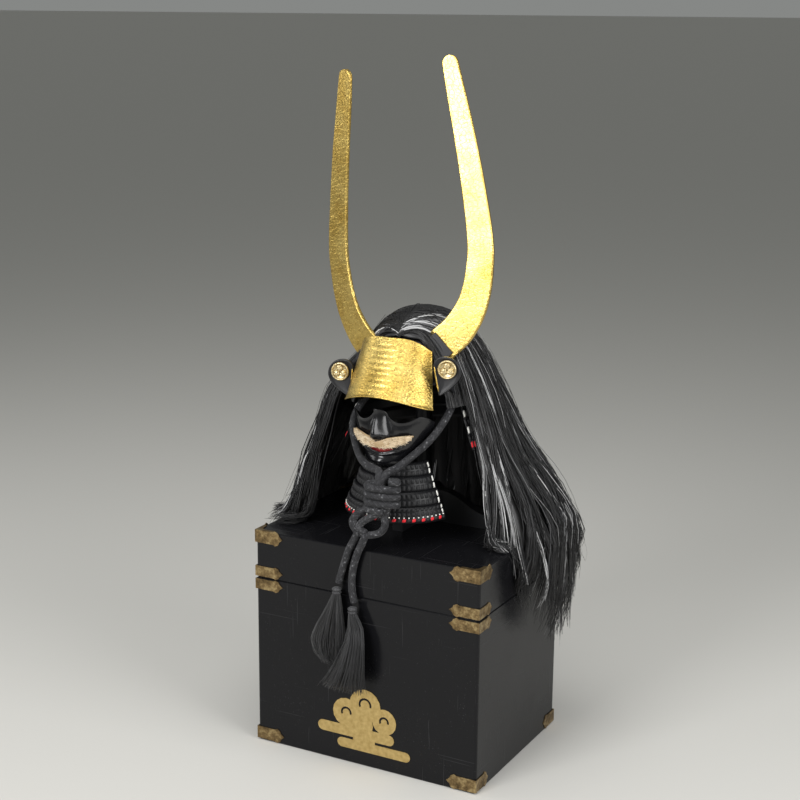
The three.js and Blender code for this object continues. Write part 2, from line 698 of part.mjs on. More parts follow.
// The horn's outline, widened by a margin: up one edge from the root end that its socket holds, round
// the tip, down the other.
function hornOutline(margin, steps = 20) {
  const outer = [];
  const inner = [];
  const ups = HORN_SECTIONS.map(({ width }, i) => ({ at: i / (HORN_SECTIONS.length - 1), width }));
  for (let j = 0; j <= steps; j += 1) {
    const t = j / steps;
    const middle = hornMiddle.getPoint(t);
    const along = hornMiddle.getTangent(t);
    const half = readTable(ups, "at", t, "width") / 2 + margin;
    outer.push(new THREE.Vector2(middle.x + along.z * half, middle.z - along.x * half));
    inner.push(new THREE.Vector2(middle.x - along.z * half, middle.z + along.x * half));
  }
  const rootAlong = hornMiddle.getTangent(0);
  for (const edge of [outer, inner]) {
    edge.unshift(new THREE.Vector2(edge[0].x - rootAlong.x * HORN.root, edge[0].y - rootAlong.z * HORN.root));
  }
  const tip = [];
  const end = hornMiddle.getPoint(1);
  const along = hornMiddle.getTangent(1);
  const half = HORN_SECTIONS[HORN_SECTIONS.length - 1].width / 2 + margin;
  for (let k = 1; k < 6; k += 1) {
    const angle = (Math.PI * k) / 6;
    const sideways = Math.cos(angle) * half;
    const ahead = Math.sin(angle) * half * 0.9;
    tip.push(new THREE.Vector2(
      end.x + along.z * sideways + along.x * ahead,
      end.z - along.x * sideways + along.z * ahead,
    ));
  }
  return new THREE.Shape([...outer, ...tip, ...inner.reverse()]);
}

function hornBoard(margin, steps) {
  const thick = HORN.thick + 2 * margin;
  const root0 = HORN_SECTIONS[0];
  return plate(hornOutline(margin, steps), thick).translate(-root0.out, thick / 2, -root0.up);
}

function socketBlock(margin) {
  const [first, second] = HORN_SECTIONS;
  const angle = Math.atan2(second.up - first.up, second.out - first.out);
  const along = SOCKET.along / 2 + margin;
  const across = SOCKET.across / 2 + margin;
  const deep = HORN.thick / 2 + SOCKET.cheek + margin;
  return box([-along - HORN.root, -deep, -across], [along - HORN.root, deep, across]).rotateY(-angle);
}

// Each horn stands in its own mount, with the socket that holds its root to the bowl.
const HORN_MOUNTS = [
  { name: "right", side: 1, lean: 5, tilt: 0, seat: 9, splay: 8 },
  { name: "left", side: -1, lean: -4, tilt: 0.7, seat: -7, splay: 19 },
];

function hornMount({ side, lean, tilt, seat, splay }) {
  const mount = new THREE.Group();
  const { out, up } = HORN_SECTIONS[0];
  mount.position.set(side * out, HORN.front, up + seat);
  mount.rotation.set(...[-lean, tilt, side * splay].map(THREE.MathUtils.degToRad));
  helmet.add(mount);
  mount.updateMatrix();
  return mount;
}

function addHorns() {
  const clearances = [];
  for (const place of HORN_MOUNTS) {
    const mount = hornMount(place);
    const toMount = mount.matrix.clone().invert();
    const handed = (geometry) => outwardFacing(geometry.scale(place.side, 1, 1));
    const bowlAt = (lift) => dome(lift, -20).applyMatrix4(toMount);
    const board = cut(handed(hornBoard(0, 20)), [bowlAt(HORN.web + GAP)]);
    const slot = cut(handed(hornBoard(GAP, 20)), [bowlAt(HORN.web)]);
    const socket = cut(handed(socketBlock(0)), [slot, bowlAt(5 * GAP)]);
    add(mount, `horn_${place.name}`, board, FINISH.gold);
    add(mount, `horn_socket_${place.name}`, socket, FINISH.satin);
    for (const room of [handed(hornBoard(1, 8)), handed(socketBlock(1))]) {
      clearances.push(room.applyMatrix4(mount.matrix).applyMatrix4(helmet.matrix));
    }
  }
  return clearances;
}

// ---- Face guard and throat guard ---------------------------------------------------------------

function maskPoint(u, v) {
  const angle = (2 * u - 1) * MASK.spread;
  const low = readTable(MASK_EDGES, "angle", Math.abs(angle), "bottom");
  const high = readTable(MASK_EDGES, "angle", Math.abs(angle), "top");
  const z = low + v * (high - low);
  const read = (column) => readTable(MASK_SECTIONS, "z", z, column);
  const turn = THREE.MathUtils.degToRad(angle);
  const x = read("half") * Math.sin(turn);
  const ridge = read("nose") * Math.exp(-((x / read("noseHalf")) ** 2));
  const y = MASK.axis - read("front") * Math.cos(turn) ** 0.8 - ridge;
  return new THREE.Vector3(MASK.x + x, y, z);
}

function addMask() {
  const mouth = new THREE.Shape();
  const { z, halfWidth, halfHeight } = MOUTH;
  mouth.moveTo(-halfWidth, z);
  mouth.quadraticCurveTo(0, z + 2 * halfHeight, halfWidth, z);
  mouth.quadraticCurveTo(0, z - 2 * halfHeight, -halfWidth, z);
  const opening = plate(mouth, 60, 6).translate(MASK.x, MASK.axis - 50, 0);
  const face = cut(skin(maskPoint, 22, 12, MASK.wall), [opening]);
  add(root, "face_mask", face, FINISH.mask);
}

// The bristle moustache: thin in the middle, fuller to each side, sweeping up to pointed tips.
function addMoustache() {
  const route = [
    { x: -56, lift: 12 }, { x: -44, lift: 9 }, { x: -28, lift: 3 }, { x: -12, lift: 0 }, { x: 0, lift: -1 },
    { x: 12, lift: 0 }, { x: 28, lift: 3 }, { x: 44, lift: 9 }, { x: 56, lift: 12 },
  ];
  const base = 583;
  const points = route.map(({ x, lift }) => {
    const z = base + lift;
    const half = readTable(MASK_SECTIONS, "z", z, "half");
    const front = readTable(MASK_SECTIONS, "z", z, "front");
    const y = MASK.axis - front * Math.cos(Math.asin(x / half)) ** 0.8 - 7;
    return [MASK.x + x, y, z];
  });
  const curve = new THREE.CatmullRomCurve3(vectors(points));
  const outward = (p) => new THREE.Vector3(p.x - MASK.x, p.y - MASK.axis, 0);
  const taper = (t) => Math.min(1, 0.15 + 3.2 * Math.min(t, 1 - t));
  const hair = strip(curve, 12, 8, (t) => 8.5 * taper(t), (t) => 4 * taper(t), outward);
  const room = skin((u, v) => {
    const p = maskPoint(u, v);
    const out = new THREE.Vector3(p.x - MASK.x, p.y - MASK.axis, 0).normalize();
    return p.addScaledVector(out, 1.2);
  }, 22, 12, 30);
  add(root, "moustache", cut(hair, [room]), FINISH.bristle);
}

// The throat guard: laced lames hung below the chin, each wider than the one above and outside it.
// The first one's upper edge follows the face guard's lower edge.
function addThroatGuard() {
  const { x, axis, lames, top, pitch, height, wall, spread } = THROAT;
  const fall = lames * pitch;
  for (let k = 0; k < lames; k += 1) {
    const low = top - k * pitch - height;
    const lift = k * (wall + 0.5);
    const point = (u, v) => {
      const turn = (2 * u - 1) * spread;
      const jaw = readTable(MASK_EDGES, "angle", Math.abs(turn), "bottom") - 3;
      const high = k ? low + height : Math.min(top, jaw);
      const z = low + v * (high - low);
      const down = (top - z) / fall;
      const angle = THREE.MathUtils.degToRad(turn);
      const wide = THROAT.topWidth + (THROAT.bottomWidth - THROAT.topWidth) * down + lift;
      const deep = THROAT.topFront + (THROAT.bottomFront - THROAT.topFront) * down + lift;
      return new THREE.Vector3(x + wide * Math.sin(angle), axis - deep * Math.cos(angle), z);
    };
    add(root, `throat_guard_lame_${k + 1}`, skin(point, 16, 1, wall), FINISH.lacing);
  }
}

// ---- Chin cord -------------------------------------------------------------------------------

// The knot's outer form: a stack of wraps with two lower loops below it.
function addKnot() {
  const { x, y, top, wraps, halfWidth, halfDepth } = KNOT;
  const pitch = 2 * CORD.radius;
  const profile = [new THREE.Vector2(0, 0)];
  for (let k = 0; k < wraps; k += 1) {
    for (const [share, up] of [[0.8, 0.08], [1, 0.5], [0.8, 0.92]]) {
      profile.push(new THREE.Vector2(share, -(k + 1 - up) * pitch).setY(-(k + up) * pitch));
    }
  }
  profile.push(new THREE.Vector2(0, -wraps * pitch));
  const stack = new THREE.LatheGeometry(profile, 12).rotateX(Math.PI / 2);
  const wrapped = outwardFacing(stack.scale(halfWidth, halfDepth, 1)).translate(x, y, top);
  const low = top - wraps * pitch;
  const loops = [
    [[x + 6, y, low + 6], [x + 4, y - 2, low - 12], [x + 16, y - 4, low - 30], [x - 2, y - 8, low - 44],
      [x - 26, y - 10, low - 46], [x - 40, y - 12, low - 46]],
    [[x - 12, y, low + 6], [x - 30, y - 4, low - 8], [x - 52, y - 8, low - 24], [x - 44, y - 11, low - 42],
      [x - 24, y - 13, low - 50]],
    [[x + 14, y - 2, low + 4], [x + 2, y - 6, low - 14], [x - 18, y - 10, low - 28], [x - 30, y - 13, low - 46]],
  ];
  const pieces = loops.map((route) => tube(route, CORD.radius, CORD.sides, 5));
  const ends = [CORD_ROUTES.cord_end_left, CORD_ROUTES.cord_end_right].map(
    (route) => tube(route, CORD.radius + GAP, CORD.sides, Math.ceil(1.4 * route.length)),
  );
  return cut(join([wrapped, ...pieces]), ends);
}

// A tassel hanging from the end of a cord: a collar, then a flat skirt of threads.
function tassel(skirt) {
  const { collar, neck, depth } = TASSEL;
  const sides = 12;
  const head = [
    { down: 0, aside: 0, behind: 0, half: neck + 1 },
    { down: collar, aside: 0, behind: 0, half: neck + 2 },
    { down: collar + 4, aside: 0, behind: 0, half: neck },
  ];
  const rings = [...head, ...skirt].map(({ down, aside, behind, half }, j, rows) => {
    const free = j >= head.length;
    const last = j === rows.length - 1;
    const deep = last ? depth * 0.5 : Math.min(half, depth);
    const ring = [];
    for (let i = 0; i < sides; i += 1) {
      const angle = (2 * Math.PI * i) / sides;
      const lock = free && i % 2 ? 0.85 : 1;
      const tip = last && i % 2 ? collar : 0;
      ring.push(new THREE.Vector3(
        aside + half * lock * Math.cos(angle), behind + deep * lock * Math.sin(angle), tip - down,
      ));
    }
    return ring;
  });
  return loft(rings);
}

function addCords() {
  for (const [name, route] of Object.entries(CORD_ROUTES)) {
    add(root, name, tube(route, CORD.radius, CORD.sides, Math.ceil(1.4 * route.length)), FINISH.cord);
  }
  add(root, "chin_knot", addKnot(), FINISH.cord);
  for (const side of ["left", "right"]) {
    const [x, y, z] = CORD_ROUTES[`cord_end_${side}`].at(-1);
    const mesh = add(root, `tassel_${side}`, tassel(TASSEL_SKIRTS[`tassel_${side}`]), FINISH.cord);
    mesh.position.set(x, y - TASSEL.neck, z - CORD.radius);
  }
}

// ---- Hair ------------------------------------------------------------------------------------

function coverWorld(turn, down, lift) {
  return coverPoint(turn, down, lift).applyMatrix4(helmet.matrix);
}

// How far down the cover the hair's cap reaches in each direction: behind the brow plate's top edge
// in front, past the turned-back plates, and over the neck guard round the back.
const CAP_EDGE = [
  { turn: 0, down: 0.5 },
  { turn: 30, down: 0.55 },
  { turn: 48, down: 0.7 },
  { turn: 60, down: 0.9 },
  { turn: 72, down: 1.25 },
  { turn: 96, down: 1.8 },
  { turn: 180, down: 1.8 },
];

function capPoint(u, v) {
  const turn = 360 * u;
  const edge = readTable(CAP_EDGE, "turn", turn > 180 ? 360 - turn : turn, "down");
  return coverWorld(turn, 0.04 + (1 - v) * (edge - 0.04), HAIR.outer);
}

// A lock leaves the cap at the temple, passes the neck guard's hem and falls to the lid, where it
// lies down or goes over the edge.
function lockCurve({ turn, brow, neck, lid, end, hem }) {
  const angle = THREE.MathUtils.degToRad(turn);
  const at = (radius, z) => new THREE.Vector3(
    HELMET.x + radius * Math.sin(angle), HELMET.y - radius * Math.cos(angle), z,
  );
  const hangs = hem < LID;
  const points = [
    coverWorld(turn, 0.7, HAIR.outer),
    at(brow, 645),
    at(neck, 560),
    at(lid * 0.55 + neck * 0.45, 490),
    at(lid, LID + (hangs ? 14 : 26)),
  ];
  if (hangs) points.push(at((lid + end) / 2 + 8, (LID + hem) / 2), at(end, hem));
  else points.push(at(end, LID + 6));
  return new THREE.CatmullRomCurve3(points);
}

function addHair(clearances) {
  const cap = skin(capPoint, 28, 6, HAIR.outer - HAIR.inner, true);
  const whorl = new THREE.SphereGeometry(11, 8, 4).rotateX(Math.PI / 2).scale(1, 1, 0.35);
  const crown = coverWorld(0, 0, (HAIR.outer + HAIR.inner) / 2);
  whorl.translate(crown.x, crown.y, crown.z);
  const outward = (p) => new THREE.Vector3(p.x - HELMET.x, p.y - HELMET.y, 60);
  const locks = HAIR_LOCKS.map((row) => {
    const curve = lockCurve(row);
    const wide = (t) => HAIR.strip * (t > 0.55 ? 1 - 1.75 * (t - 0.55) : 1);
    const thick = (t) => HAIR.stripThick * (t > 0.55 ? 1 - 1.75 * (t - 0.55) : 1);
    return strip(curve, 6, 4, wide, thick, outward);
  });
  add(root, "hair", cut(join([cap, whorl, ...locks]), clearances), FINISH.hair);
}

addChest();
addFittings();
addOrnament();
addStand();
addBowl();
addNeckGuard();
addBrowPlate();
addTurnbacks();
const hornRoom = addHorns();
addMask();
addMoustache();
addThroatGuard();
addCords();
addHair(hornRoom);

export default root;
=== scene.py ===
import math

import bmesh
import bpy
import numpy as np
from mathutils import Matrix, Vector, noise


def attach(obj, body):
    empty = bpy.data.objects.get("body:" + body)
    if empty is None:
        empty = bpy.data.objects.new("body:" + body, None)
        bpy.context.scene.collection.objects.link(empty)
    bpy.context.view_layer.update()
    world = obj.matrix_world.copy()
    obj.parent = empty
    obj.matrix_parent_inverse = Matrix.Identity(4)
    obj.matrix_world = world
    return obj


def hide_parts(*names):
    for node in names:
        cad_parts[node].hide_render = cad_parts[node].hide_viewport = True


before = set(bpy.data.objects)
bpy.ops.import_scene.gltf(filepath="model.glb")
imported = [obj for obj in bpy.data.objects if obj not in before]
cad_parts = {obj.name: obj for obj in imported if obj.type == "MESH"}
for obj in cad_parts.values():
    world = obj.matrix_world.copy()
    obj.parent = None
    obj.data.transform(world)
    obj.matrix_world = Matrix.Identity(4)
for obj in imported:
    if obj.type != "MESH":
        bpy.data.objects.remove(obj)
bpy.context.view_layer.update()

# ---- Camera ----------------------------------------------------------------------------------
# A long lens at head height, a little to the helmet's left and above the chest, as a catalogue
# shows such a set.
camera_data = bpy.data.cameras.new("camera")
camera_data.lens = 71.93
camera_data.clip_end = 2000
camera = bpy.data.objects.new("camera", camera_data)
bpy.context.scene.collection.objects.link(camera)
bpy.context.scene.camera = camera
camera_place = Vector((1.2869, -2.4129, 1.2933))
camera_aim = (Vector((-0.0222, 0, 0.6264)) - camera_place).normalized()
camera_right = camera_aim.cross(Vector((0, 0, 1))).normalized()
camera_right = camera_right * math.cos(math.radians(0.5)) + camera_right.cross(camera_aim) * math.sin(
    math.radians(0.5))
camera_up = camera_right.cross(camera_aim)
camera.matrix_world = Matrix.Translation(camera_place) @ Matrix(
    (camera_right, camera_up, -camera_aim)
).transposed().to_4x4()


# ---- Chin cord -------------------------------------------------------------------------------
# A round silk braid of charcoal and paler threads, 13 mm thick. It comes down from inside the
# helmet on each side of the face guard and is tied under the chin.
MM = 0.001


def node(tree, kind, links=None, **settings):
    """A shader or geometry node; links gives its inputs by name or number, each a value or a socket."""
    made = tree.nodes.new(kind)
    for key, value in settings.items():
        setattr(made, key, value)
    for key, value in (links or {}).items():
        if isinstance(value, bpy.types.NodeSocket):
            tree.links.new(value, made.inputs[key])
        else:
            made.inputs[key].default_value = value
    return made


def material(name, **shader):
    """A new material, its node tree and its Principled shader with constant inputs set."""
    made = bpy.data.materials.new(name)
    made.use_nodes = True
    tree = made.node_tree
    bsdf = tree.nodes["Principled BSDF"]
    for key, value in shader.items():
        bsdf.inputs[key.replace("_", " ")].default_value = value
    return made, tree, bsdf


def ramp(tree, value, *stops):
    """A colour ramp with stops of (place, colour)."""
    made = node(tree, "ShaderNodeValToRGB", {0: value})
    elements = made.color_ramp.elements
    while len(elements) < len(stops):
        elements.new(0.5)
    for element, (place, colour) in zip(elements, stops):
        element.position = place
        element.color = (*colour, 1) if len(colour) == 3 else colour
    return made.outputs["Color"]


def grey(tree, value, *stops):
    return ramp(tree, value, *[(place, (level, level, level)) for place, level in stops])


def bump(tree, bsdf, height, distance, strength=1.0):
    made = node(tree, "ShaderNodeBump", {"Height": height, "Distance": distance, "Strength": strength})
    tree.links.new(made.outputs["Normal"], bsdf.inputs["Normal"])
    return made


def piece(name, mesh, finish, replaces=()):
    """A finished piece of the object: it rides on the one body and may stand for CAD nodes."""
    made = mesh if isinstance(mesh, bpy.types.Object) else bpy.data.objects.new(name, mesh)
    made.name = name
    if not made.users_collection:
        bpy.context.scene.collection.objects.link(made)
    made.data.materials.clear()
    made.data.materials.append(finish)
    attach(made, "root")
    if replaces:
        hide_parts(*replaces)
    return made


def grid_mesh(name, points, around=False, ends=False, smooth=True):
    """A mesh from rows of points; around closes each row on itself, ends closes the first and last."""
    points = np.asarray(points, float)
    rows, columns = points.shape[:2]
    faces = []
    last = columns if around else columns - 1
    for j in range(rows - 1):
        for i in range(last):
            k = (i + 1) % columns
            faces.append((j * columns + i, j * columns + k, (j + 1) * columns + k, (j + 1) * columns + i))
    if ends:
        faces.append(tuple(reversed(range(columns))))
        faces.append(tuple((rows - 1) * columns + i for i in range(columns)))
    made = bpy.data.meshes.new(name)
    made.from_pydata([tuple(p) for p in points.reshape(-1, 3)], [], faces)
    made.update()
    face_out(made)
    if smooth:
        made.shade_smooth()
    return made


def face_out(mesh):
    """Turns a closed mesh's faces outwards."""
    work = bmesh.new()
    work.from_mesh(mesh)
    bmesh.ops.recalc_face_normals(work, faces=work.faces)
    if sum(f.calc_center_median().dot(f.normal) * f.calc_area() for f in work.faces) < 0:
        bmesh.ops.reverse_faces(work, faces=work.faces)
    work.to_mesh(mesh)
    work.free()


def smooth_path(points, step):
    """A smooth curve through the points, as points an even step apart."""
    points = np.asarray(points, float)
    padded = np.vstack([2 * points[0] - points[1], points, 2 * points[-1] - points[-2]])
    fine = []
    for i in range(1, len(padded) - 2):
        a, b, c, d = padded[i - 1:i + 3]
        t = np.linspace(0, 1, 24, endpoint=False)[:, None]
        fine.append(0.5 * (2 * b + (c - a) * t + (2 * a - 5 * b + 4 * c - d) * t**2
            + (3 * b - a - 3 * c + d) * t**3))
    fine = np.vstack([*fine, points[-1:]])
    along = np.concatenate([[0], np.cumsum(np.linalg.norm(np.diff(fine, axis=0), axis=1))])
    count = max(2, int(round(along[-1] / step)) + 1)
    places = np.linspace(0, along[-1], count)
    return np.stack([np.interp(places, along, fine[:, k]) for k in range(3)], axis=1)


def frames_along(path):
    """Two directions across a path at each of its points, turning as little as they can."""
    tangents = np.gradient(path, axis=0)
    tangents /= np.linalg.norm(tangents, axis=1)[:, None]
    side = np.cross(tangents[0], [0.3, 0.2, 1.0])
    side /= np.linalg.norm(side)
    sides = []
    for tangent in tangents:
        side = side - tangent * side.dot(tangent)
        side /= np.linalg.norm(side)
        sides.append(side)
    sides = np.array(sides)
    return sides, np.cross(tangents, sides)


BRAID_STRANDS = 8
BRAID_PITCH = 5.2 * MM
BRAID_RELIEF = 0.9 * MM


def braid(name, points, radius, step=1.15 * MM, around=32, shift=0.0):
    """A braided cord along a path: strands that cross over and under, each with its own shade."""
    path = smooth_path(points, step)
    sides, ups = frames_along(path)
    angle = np.arange(around) * 2 * math.pi / around
    turn = np.arange(around)[None, :] / around * BRAID_STRANDS
    run = (np.arange(len(path))[:, None] * step + shift) / BRAID_PITCH
    left, right = turn + run, turn - run
    over = (np.floor(left) + np.floor(right)) % 2 == 0
    crown = np.where(over, np.abs(np.sin(math.pi * right)), np.abs(np.sin(math.pi * left)))
    reach = radius - BRAID_RELIEF * (1 - crown)
    reach[0] *= 0.5
    reach[-1] *= 0.5
    ring = sides[:, None, :] * np.cos(angle)[None, :, None] + ups[:, None, :] * np.sin(angle)[None, :, None]
    mesh = grid_mesh(name, path[:, None, :] + ring * reach[..., None], around=True, ends=True)
    strand = np.where(over, np.floor(right) * 7.3, np.floor(left) * 3.1 + 0.7)
    shade = (np.sin(strand * 12.9898) * 43758.5453) % 1
    fleck = (np.sin((np.floor(left) * 5.17 + np.floor(right) * 9.31) * 78.233) * 12543.13) % 1
    # The crown attribute also carries the painted shade in the gaps between strands; shade gives each strand
    # its own tone.
    for label, values in (("crown", crown), ("shade", 0.5 * shade + 0.5 * fleck)):
        mesh.attributes.new(label, "FLOAT", "POINT").data.foreach_set("value",
            values.ravel().astype(np.float32))
    return mesh, path


braid_finish, tree, bsdf = material("charcoal braid", Roughness=0.72)
crown = node(tree, "ShaderNodeAttribute", attribute_name="crown").outputs["Fac"]
shade = node(tree, "ShaderNodeAttribute", attribute_name="shade").outputs["Fac"]
place = node(tree, "ShaderNodeTexCoord").outputs["Object"]
fibre = node(tree, "ShaderNodeTexNoise", {"Vector": place, "Scale": 2600.0, "Detail": 2.0}).outputs["Fac"]
body = ramp(tree, shade, (0.0, (0.016, 0.016, 0.018)), (0.6, (0.034, 0.034, 0.037)),
    (0.82, (0.075, 0.075, 0.08)), (1.0, (0.19, 0.19, 0.2)))
# Painted shade: the cord's colour is darkened where a strand dips under its neighbours, in the gaps between
# strands.
deep = grey(tree, crown, (0.05, 0.04), (0.7, 1.0))
gap_shaded_body = node(tree, "ShaderNodeMix", {"Factor": 1.0, "A": body, "B": deep}, data_type="RGBA",
    blend_type="MULTIPLY")
worn = grey(tree, fibre, (0.3, 0.65), (0.7, 1.35))
mixed = node(tree, "ShaderNodeMix", {"Factor": 1.0, "A": gap_shaded_body.outputs[2], "B": worn}, data_type="RGBA",
    blend_type="MULTIPLY")
tree.links.new(mixed.outputs[2], bsdf.inputs["Base Color"])
bump(tree, bsdf, fibre, 0.25 * MM)
bsdf.inputs["Sheen Weight"].default_value = 0.04
bsdf.inputs["Specular IOR Level"].default_value = 0.25

CORD_RADIUS = 6.5 * MM
CORD_ROUTES = {
    "chin_cord_right": [
        (86, 14, 656), (91, -12, 641), (92, -38, 622), (88, -60, 603), (83, -77, 590), (74, -88, 577),
        (60, -99, 562), (48, -115, 549), (43, -132, 543), (40, -150, 541),
    ],
    "chin_cord_left": [
        (-74, 14, 646), (-81, -12, 631), (-85, -38, 613), (-82, -60, 596), (-72, -78, 578),
        (-59, -92, 562), (-41, -110, 549), (-21, -127, 542), (2, -141, 541), (20, -152, 541),
    ],
    "cord_end_left": [
        (-6, -173, 436), (-14, -174, 420), (-23, -175, 402), (-31, -175, 380), (-38, -175, 358),
        (-44, -176, 336),
    ],
    "cord_end_right": [
        (8, -173, 433), (2, -175, 416), (-7, -175, 396), (-14, -175, 374), (-18, -175, 350),
        (-17, -176, 328), (-12, -177, 306),
    ],
}

cord_pieces = {}
for name, route in CORD_ROUTES.items():
    mesh, path = braid(name, np.array(route) * MM, CORD_RADIUS)
    cord_pieces[name] = (piece(name + "_braid", mesh, braid_finish, [name]), path)

# ---- Knot ------------------------------------------------------------------------------------
# The same silk braid is wound round itself under the chin in four turns, looped back through and
# drawn tight by hand, so that its two ends hang free.
knot_turns = np.linspace(0.1, 4.05, 130)
knot_angle = 2 * math.pi * knot_turns
knot_wraps = np.stack([
    32 + 28.5 * np.sin(knot_angle),
    -160 - 11 * np.cos(knot_angle),
    534 - 7 - 13.2 * (knot_turns - 0.1) + 3.0 * np.sin(knot_angle),
], axis=1)
knot_routes = {
    "wraps": knot_wraps,
    "loop": [
        (46, -160, 488), (38, -162, 466), (40, -164, 450), (30, -166, 436), (8, -170, 430),
        (-12, -171, 436), (-20, -170, 450), (-12, -167, 464), (4, -163, 474), (14, -160, 484),
    ],
    "bight": [
        (20, -160, 486), (0, -163, 472), (-16, -168, 454), (-8, -172, 442), (8, -173, 433),
    ],
    "right_end": [(40, -149, 541), (39, -158, 539.5), (37, -166, 533), (35, -167, 522), (34, -164, 508)],
    "left_end": [(19, -151.5, 541), (26, -159, 540), (30, -167, 534), (31, -168, 522), (32, -164, 508)],
    "cross": [
        (48, -162, 486), (34, -166, 474), (14, -170, 462), (-2, -172, 450), (-6, -173, 436),
    ],
}
knot_parts = []
for name, route in knot_routes.items():
    mesh, path = braid(name, np.array(route, float) * MM, CORD_RADIUS, around=28)
    knot_parts.append(mesh)


def joined(name, meshes):
    """One mesh from several, with their point attributes."""
    made = [bpy.data.objects.new(name, mesh) for mesh in meshes]
    for each in made:
        bpy.context.scene.collection.objects.link(each)
    with bpy.context.temp_override(active_object=made[0], selected_editable_objects=made,
        selected_objects=made):
        bpy.ops.object.join()
    whole = made[0].data
    bpy.data.objects.remove(made[0])
    whole.name = name
    return whole


piece("knot", joined("knot", knot_parts), braid_finish, ["chin_knot"])


def strand_tree(name):
    """Geometry nodes that give each line of a mesh the body of a thread."""
    made = bpy.data.node_groups.new(name, "GeometryNodeTree")
    made.interface.new_socket("Geometry", in_out="INPUT", socket_type="NodeSocketGeometry")
    made.interface.new_socket("Thickness", in_out="INPUT", socket_type="NodeSocketFloat")
    made.interface.new_socket("Finish", in_out="INPUT", socket_type="NodeSocketMaterial")
    made.interface.new_socket("Geometry", in_out="OUTPUT", socket_type="NodeSocketGeometry")
    given = node(made, "NodeGroupInput")
    lines = node(made, "GeometryNodeMeshToCurve", {"Mesh": given.outputs["Geometry"]})
    taper = node(made, "GeometryNodeInputNamedAttribute", {"Name": "taper"}, data_type="FLOAT")
    sized = node(made, "GeometryNodeSetCurveRadius",
        {"Curve": lines.outputs[0], "Radius": taper.outputs[0]})
    section = node(made, "GeometryNodeCurvePrimitiveCircle",
        {"Resolution": 3, "Radius": given.outputs["Thickness"]})
    body = node(made, "GeometryNodeCurveToMesh", {
        "Curve": sized.outputs[0], "Profile Curve": section.outputs[0], "Scale": taper.outputs[0],
        "Fill Caps": True,
    })
    soft = node(made, "GeometryNodeSetShadeSmooth", {"Geometry": body.outputs[0]})
    whole = node(made, "GeometryNodeRealizeInstances", {"Geometry": soft.outputs[0]})
    dressed = node(made, "GeometryNodeSetMaterial",
        {"Geometry": whole.outputs[0], "Material": given.outputs["Finish"]})
    node(made, "NodeGroupOutput", {0: dressed.outputs[0]})
    return made


strand_nodes = strand_tree("threads")


def threads(name, paths, thickness, finish, tone=None, tip=0.25):
    """Threads along paths (threads x points x 3), thinning to their tips, as one plain mesh."""
    paths = np.asarray(paths, np.float32)
    count, along = paths.shape[:2]
    start = (np.arange(count) * along)[:, None] + np.arange(along - 1)[None, :]
    edges = np.stack([start, start + 1], axis=-1).reshape(-1, 2)
    lines = bpy.data.meshes.new(name)
    lines.vertices.add(count * along)
    lines.vertices.foreach_set("co", paths.ravel())
    lines.edges.add(len(edges))
    lines.edges.foreach_set("vertices", edges.ravel().astype(np.int32))
    run = np.linspace(0, 1, along)
    taper = np.broadcast_to(np.where(run < 0.6, 1.0, 1 - (1 - tip) * (run - 0.6) / 0.4), (count, along))
    taper = taper * (0.8 + 0.4 * RNG.random((count, 1)))
    lines.attributes.new("taper", "FLOAT", "POINT").data.foreach_set("value",
        taper.ravel().astype(np.float32))
    tones = np.zeros((count, along)) if tone is None else np.broadcast_to(tone, (count, along))
    lines.attributes.new("tone", "FLOAT", "POINT").data.foreach_set("value",
        tones.ravel().astype(np.float32))
    holder = bpy.data.objects.new(name, lines)
    bpy.context.scene.collection.objects.link(holder)
    modifier = holder.modifiers.new("threads", "NODES")
    modifier.node_group = strand_nodes
    sockets = strand_nodes.interface.items_tree
    inputs = {item.name: item.identifier for item in sockets if item.in_out == "INPUT"}
    modifier[inputs["Thickness"]] = thickness
    modifier[inputs["Finish"]] = finish
    graph = bpy.context.evaluated_depsgraph_get()
    mesh = bpy.data.meshes.new_from_object(holder.evaluated_get(graph), depsgraph=graph)
    bpy.data.objects.remove(holder)
    mesh.name = name
    return mesh


RNG = np.random.default_rng(11)

thread_finish, tree, bsdf = material("black silk thread", Roughness=0.42)
tone = node(tree, "ShaderNodeAttribute", attribute_name="tone").outputs["Fac"]
tree.links.new(
    ramp(tree, tone, (0.0, (0.008, 0.008, 0.009)), (0.6, (0.035, 0.035, 0.038)),
        (1.0, (0.22, 0.22, 0.235))),
    bsdf.inputs["Base Color"],
)
bsdf.inputs["Sheen Weight"].default_value = 0.15

TASSEL_COLLAR = 10
TASSEL_SKIRTS = {
    "left": [(0, 0, -0.5, 6.5), (26, -5, 1, 15), (62, -14, 3, 28), (92, -20, 4, 35), (116, -18, 4, 30),
        (132, -12, 4, 17)],
    "right": [(0, 0, -0.5, 6.5), (26, 6, 0, 15), (55, 8, -9, 20), (90, 2, -14, 28), (122, -8, -14, 37),
        (142, -17, -9, 46)],
}


def torus_rows(centre, major, minor, turns=28, sides=10):
    """A ring lying level about a centre."""
    a = np.linspace(0, 2 * math.pi, turns, endpoint=False)[:, None]
    b = np.linspace(0, 2 * math.pi, sides, endpoint=False)[None, :]
    reach = major + minor * np.cos(b)
    rows = np.stack([reach * np.cos(a), reach * np.sin(a), minor * np.sin(b) + 0 * a],
        axis=-1) + np.array(centre)
    return np.vstack([rows, rows[:1]])


def ring_mesh(name, centre, major, minor):
    made = grid_mesh(name, torus_rows(centre, major, minor), around=True)
    work = bmesh.new()
    work.from_mesh(made)
    bmesh.ops.remove_doubles(work, verts=work.verts, dist=1e-6)
    work.to_mesh(made)
    work.free()
    return made


